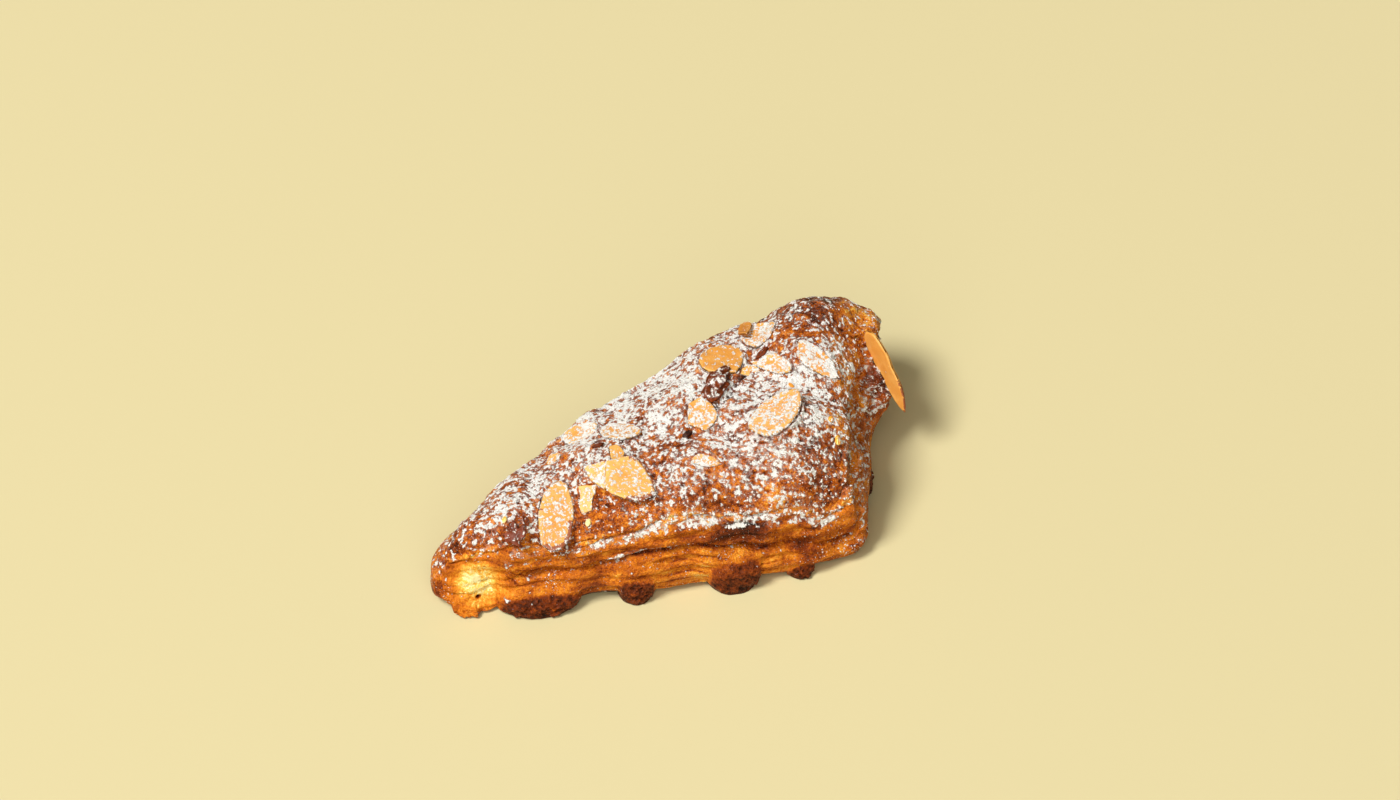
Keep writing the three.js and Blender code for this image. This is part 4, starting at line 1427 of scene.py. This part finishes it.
# %% [markdown]
# ## Crumbs
#
# A shred of cream that caught the heat lies on the crust, nearly black and wrinkled, with sugar
# in its folds. Smaller bits lie about: pale crumbs of dough, dark crumbs, and flakes of almond
# skin. Each is a ball whose radius follows ridged noise, squashed and turned to lie on the crust.

# %% Crumbs
crumb_material = baked_material("burnt_crumb", 0, 0.4, 0.30, 0.25)
# Small bits on the crust: x, y, heading, length, width, height, baking.
PALE_BITS = [
    (-27.6, -32.0, 60, 2.8, 2.0, 1.4, 0.02), (-52.3, -27.4, 70, 2.6, 1.6, 1.2, 0.10),
    (50.6, -22.5, 100, 3.6, 2.6, 1.6, 0.16), (49.8, -16.5, 60, 2.4, 2.0, 1.3, 0.18),
    (-66.5, -33.6, 10, 2.6, 2.0, 1.4, 0.26), (41, -2, 130, 2.4, 1.4, 0.9, 0.26),
]
DARK_BITS = [
    (6.7, -12.9, 20, 4.0, 2.4, 1.6, 0.92), (-20.1, -10.2, -20, 4.6, 2.2, 1.4, 0.74),
    (35.6, 13.4, 10, 5.8, 3.0, 2.0, 0.70), (-46.2, -29.6, 100, 4.6, 1.8, 1.8, 0.68),
    (-51.4, -30.2, 80, 4.0, 1.6, 1.8, 0.72), (-9.6, -28.6, -30, 2.4, 1.4, 1.0, 0.8),
]
# The big crumb: its heading, its length, width and height, and its middle's shift off the solid.
CRUMB_HEADING, CRUMB_SIZE, CRUMB_SHIFT = 48, (15.0, 8.6, 4.6), (-0.6, -1.2, 0.4)


def ball_grid(columns, rows):
    """Unit directions over a ball, as a grid from pole to pole."""
    turn = np.arange(columns)[:, None] * 2 * math.pi / columns
    fall = np.linspace(0, math.pi, rows)
    return np.stack([np.cos(turn) * np.sin(fall), np.sin(turn) * np.sin(fall),
                     np.cos(fall) + 0 * turn], -1)


def crumb_grid(middle, axes, ways, seed, bake, sugar_share):
    """A wrinkled ball: its radius is 0.78 plus 0.17 times folds of 1 - 2 |noise|, along axes."""
    folds = 1 - 2 * np.abs(noise(ways * (0.6, 1.8, 0.9), 0.75, seed))
    size = 0.78 + 0.17 * folds + 0.03 * noise(ways, 0.3, seed + 1)
    points = middle + (ways * size[..., None]) @ axes
    sugar = sugar_share * smooth(0.1, 0.7, ways[..., 2]) * smooth(0.2, 0.8, folds)
    # Darker in the valleys between wrinkles and lighter on their ridges: painted shade.
    maps = {"bake": bake + 0.06 - 0.14 * folds, "sugar": sugar, "specks": 0.5 + 0 * folds}
    return points, with_powder(points, maps)


def lying_axes(normal, heading, length, width, height):
    """Half axes of a bit that lies on a surface: along its heading, across, and up."""
    ahead = np.array([math.cos(math.radians(heading)), math.sin(math.radians(heading)), 0])
    ahead = unit(ahead - normal * (ahead @ normal))
    return np.stack([ahead * length, np.cross(normal, ahead) * width, normal * height]) / 2


def make_crumb():
    """The dark crumb: a wrinkled ball inside its CAD solid's box."""
    low, high = (np.array(corner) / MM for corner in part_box("dark_crumb"))
    axes = lying_axes(np.array([0, 0, 1.0]), CRUMB_HEADING, *CRUMB_SIZE)
    ways = ball_grid(96, 48)
    turn = np.arctan2(ways[..., 1], ways[..., 0])
    ways[..., :2] *= (1 + 0.20 * np.sin(2 * turn + 0.6) + 0.08 * np.sin(5 * turn + 1))[..., None]
    middle = (low + high) / 2 + CRUMB_SHIFT
    points, maps = crumb_grid(middle, axes, ways, 24, 0.74, 0.45)
    made = make_piece("burnt_crumb", points, maps, closed_rings, "crumb", crumb_material)
    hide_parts("dark_crumb")


def make_bits(name, bits, slot):
    """Joins the small bits: each sits on the crust's nearest point, along its normal."""
    surface = cream_points[:, :CREAM_ROWS].reshape(-1, 3)
    normals = grid_normals(cream_points)[:, :CREAM_ROWS].reshape(-1, 3)
    parts = []
    for index, (x, y, heading, *size, bake) in enumerate(bits):
        near = np.argmin((surface[:, 0] - x) ** 2 + (surface[:, 1] - y) ** 2)
        middle = surface[near] + normals[near] * size[2] * 0.2
        axes = lying_axes(normals[near], heading, *size)
        grid = crumb_grid(middle, axes, ball_grid(20, 12), 31 + 3 * index, bake, 0.2)
        parts.append(closed(*grid, closed_rings))
    points, faces, maps = zip(*parts)
    faces = np.concatenate([some + index * len(points[0]) for index, some in enumerate(faces)])
    joined = {key: np.concatenate([some[key] for some in maps]) for key in maps[0]}
    make_object(name, np.concatenate(points), faces, slot, crumb_material, **joined)


make_crumb()
make_bits("pale_bits", PALE_BITS, "dough")
make_bits("dark_bits", DARK_BITS, "crumb")

# %% [markdown]
# ## Icing sugar
#
# Sieved sugar stays bright white because its grains scatter light so well. Paint alone looks
# flat, so grains of it are real: tiny, uneven eight-sided shapes, dropped close together where
# the powder map is above 0. The finest dust is left to the materials.

# %% Sugar grains
sugar_rng = np.random.default_rng(7)
# A piece of sugar holds at most this many grains.
WHOLE_PIECE = 24000
OCTAHEDRON = np.array([(1, 0, 0), (0, 1, 0), (-1, 0, 0), (0, -1, 0), (0, 0, 1), (0, 0, -1)], float)
OCTAHEDRON_FACES = np.array([(0, 1, 4), (1, 2, 4), (2, 3, 4), (3, 0, 4),
                             (1, 0, 5), (2, 1, 5), (3, 2, 5), (0, 3, 5)])
# A grain's middle size, the spread of its logarithm, its limits, and the middle size on almonds.
GRAIN_SIZE, GRAIN_SPREAD, GRAIN_LIMITS, NUT_GRAIN_SIZE = 0.15, 0.34, (0.07, 0.36), 0.10


def scatter(points, share, bare, per_mm2, fineness=1.0):
    """Places and normals on a grid's squares, where the powder map is above 0.

    Each square gets a random number of tries, about its area times per_mm2. Each try lands at
    random inside the square, and stays if the powder map there is above a random low value.
    """
    a, b = points[:, :-1], np.roll(points, -1, 0)[:, :-1]
    down = points[:, 1:] - a
    across = b - a
    normal = np.cross(down, across)
    area = np.linalg.norm(normal, axis=-1)
    normal = normal / np.maximum(area, 1e-9)[..., None]
    wanted = area * per_mm2 * (share[:, :-1] > 0.04) * ~bare[:, :-1]
    count = sugar_rng.poisson(wanted.ravel())
    square = np.repeat(np.arange(count.size), count)
    s, t = sugar_rng.random((2, square.size, 1))
    spots = a.reshape(-1, 3)[square] + s * down.reshape(-1, 3)[square]
    spots = spots + t * across.reshape(-1, 3)[square]
    lies = powder_map(spots, share[:, :-1].ravel()[square], fineness)
    kept = lies > sugar_rng.uniform(-0.02, 0.12, len(lies))
    return spots[kept], normal.reshape(-1, 3)[square][kept]


def sugar_grains(name, spots, normals, slot, median=GRAIN_SIZE):
    """Flat, uneven little grains at the spots, lying along the surface, joined as one mesh."""
    count = len(spots)
    size = np.exp(sugar_rng.normal(math.log(median), GRAIN_SPREAD, count))
    size = np.clip(size, *GRAIN_LIMITS)[:, None]
    helper = np.where(np.abs(normals[:, :1]) < 0.8, [[1.0, 0, 0]], [[0, 1.0, 0]])
    side = unit(np.cross(normals, helper))
    turn = sugar_rng.random((count, 1)) * 2 * math.pi
    ahead = side * np.cos(turn) + np.cross(normals, side) * np.sin(turn)
    frames = np.stack([ahead, np.cross(normals, ahead), normals], 1)
    stretch = sugar_rng.uniform([0.9, 0.7, 0.2], [1.8, 1.3, 0.4], (count, 3)) * size
    uneven = 1 + sugar_rng.uniform(-0.4, 0.4, (count, 6, 1))
    shape = OCTAHEDRON * uneven * stretch[:, None]
    points = (spots + normals * 0.15 * size)[:, None] + shape @ frames
    faces = OCTAHEDRON_FACES + 6 * np.arange(count)[:, None, None]
    make_object(name, points, faces.reshape(-1, 3), slot, sugar_material, faceted=True)


def make_sugar_material():
    """Bright, rough white with the faint unevenness of packed powder."""
    f = Finish("icing_sugar")
    powder = f.noise(0.35, 3.0, 0.6, seed=1.0)
    colour = f.blend((0.885, 0.87, 0.84, 1), (0.94, 0.93, 0.91, 1), powder)
    return f.done({
        "Base Color": colour, "Roughness": 0.85, "Specular IOR Level": 0.25,
        "Normal": f.bump(powder, 0.05, 0.6),
    })


sugar_material = make_sugar_material()
print("an average grain is", GRAIN_SIZE, "mm, on the almonds", NUT_GRAIN_SIZE, "mm")

# %% Sugar on the crust, the sides and the almonds
GRAINS_PER_MM2 = 17.0
spots, normals = scatter(cream_points, cream_maps["sugar"], cream_covered, GRAINS_PER_MM2)
print("grains on the crust:", len(spots))
order = sugar_rng.permutation(len(spots))[:3 * WHOLE_PIECE]
for part, start in enumerate(range(0, len(order), WHOLE_PIECE), 1):
    chosen = order[start:start + WHOLE_PIECE]
    sugar_grains(f"icing_sugar_crust_{part}", spots[chosen], normals[chosen], "cream")
at_base = dough_points[..., 2] < 0.6
spots, normals = scatter(dough_points, dough_maps["sugar"], at_base, GRAINS_PER_MM2)
print("grains on the sides:", len(spots))
chosen = sugar_rng.permutation(len(spots))[:WHOLE_PIECE // 2]
sugar_grains("icing_sugar_sides", spots[chosen], normals[chosen], "dough")
on_slices = []
for points, maps in slice_grids:
    bare = np.zeros(points.shape[:2], bool)
    on_slices.append(scatter(points, maps["sugar"], bare, 2 * GRAINS_PER_MM2, NUT_FINENESS))
spots, normals = (np.concatenate(parts) for parts in zip(*on_slices))
print("grains on the almonds:", len(spots))
chosen = sugar_rng.permutation(len(spots))[:WHOLE_PIECE]
sugar_grains("icing_sugar_almonds", spots[chosen], normals[chosen], "almond", NUT_GRAIN_SIZE)
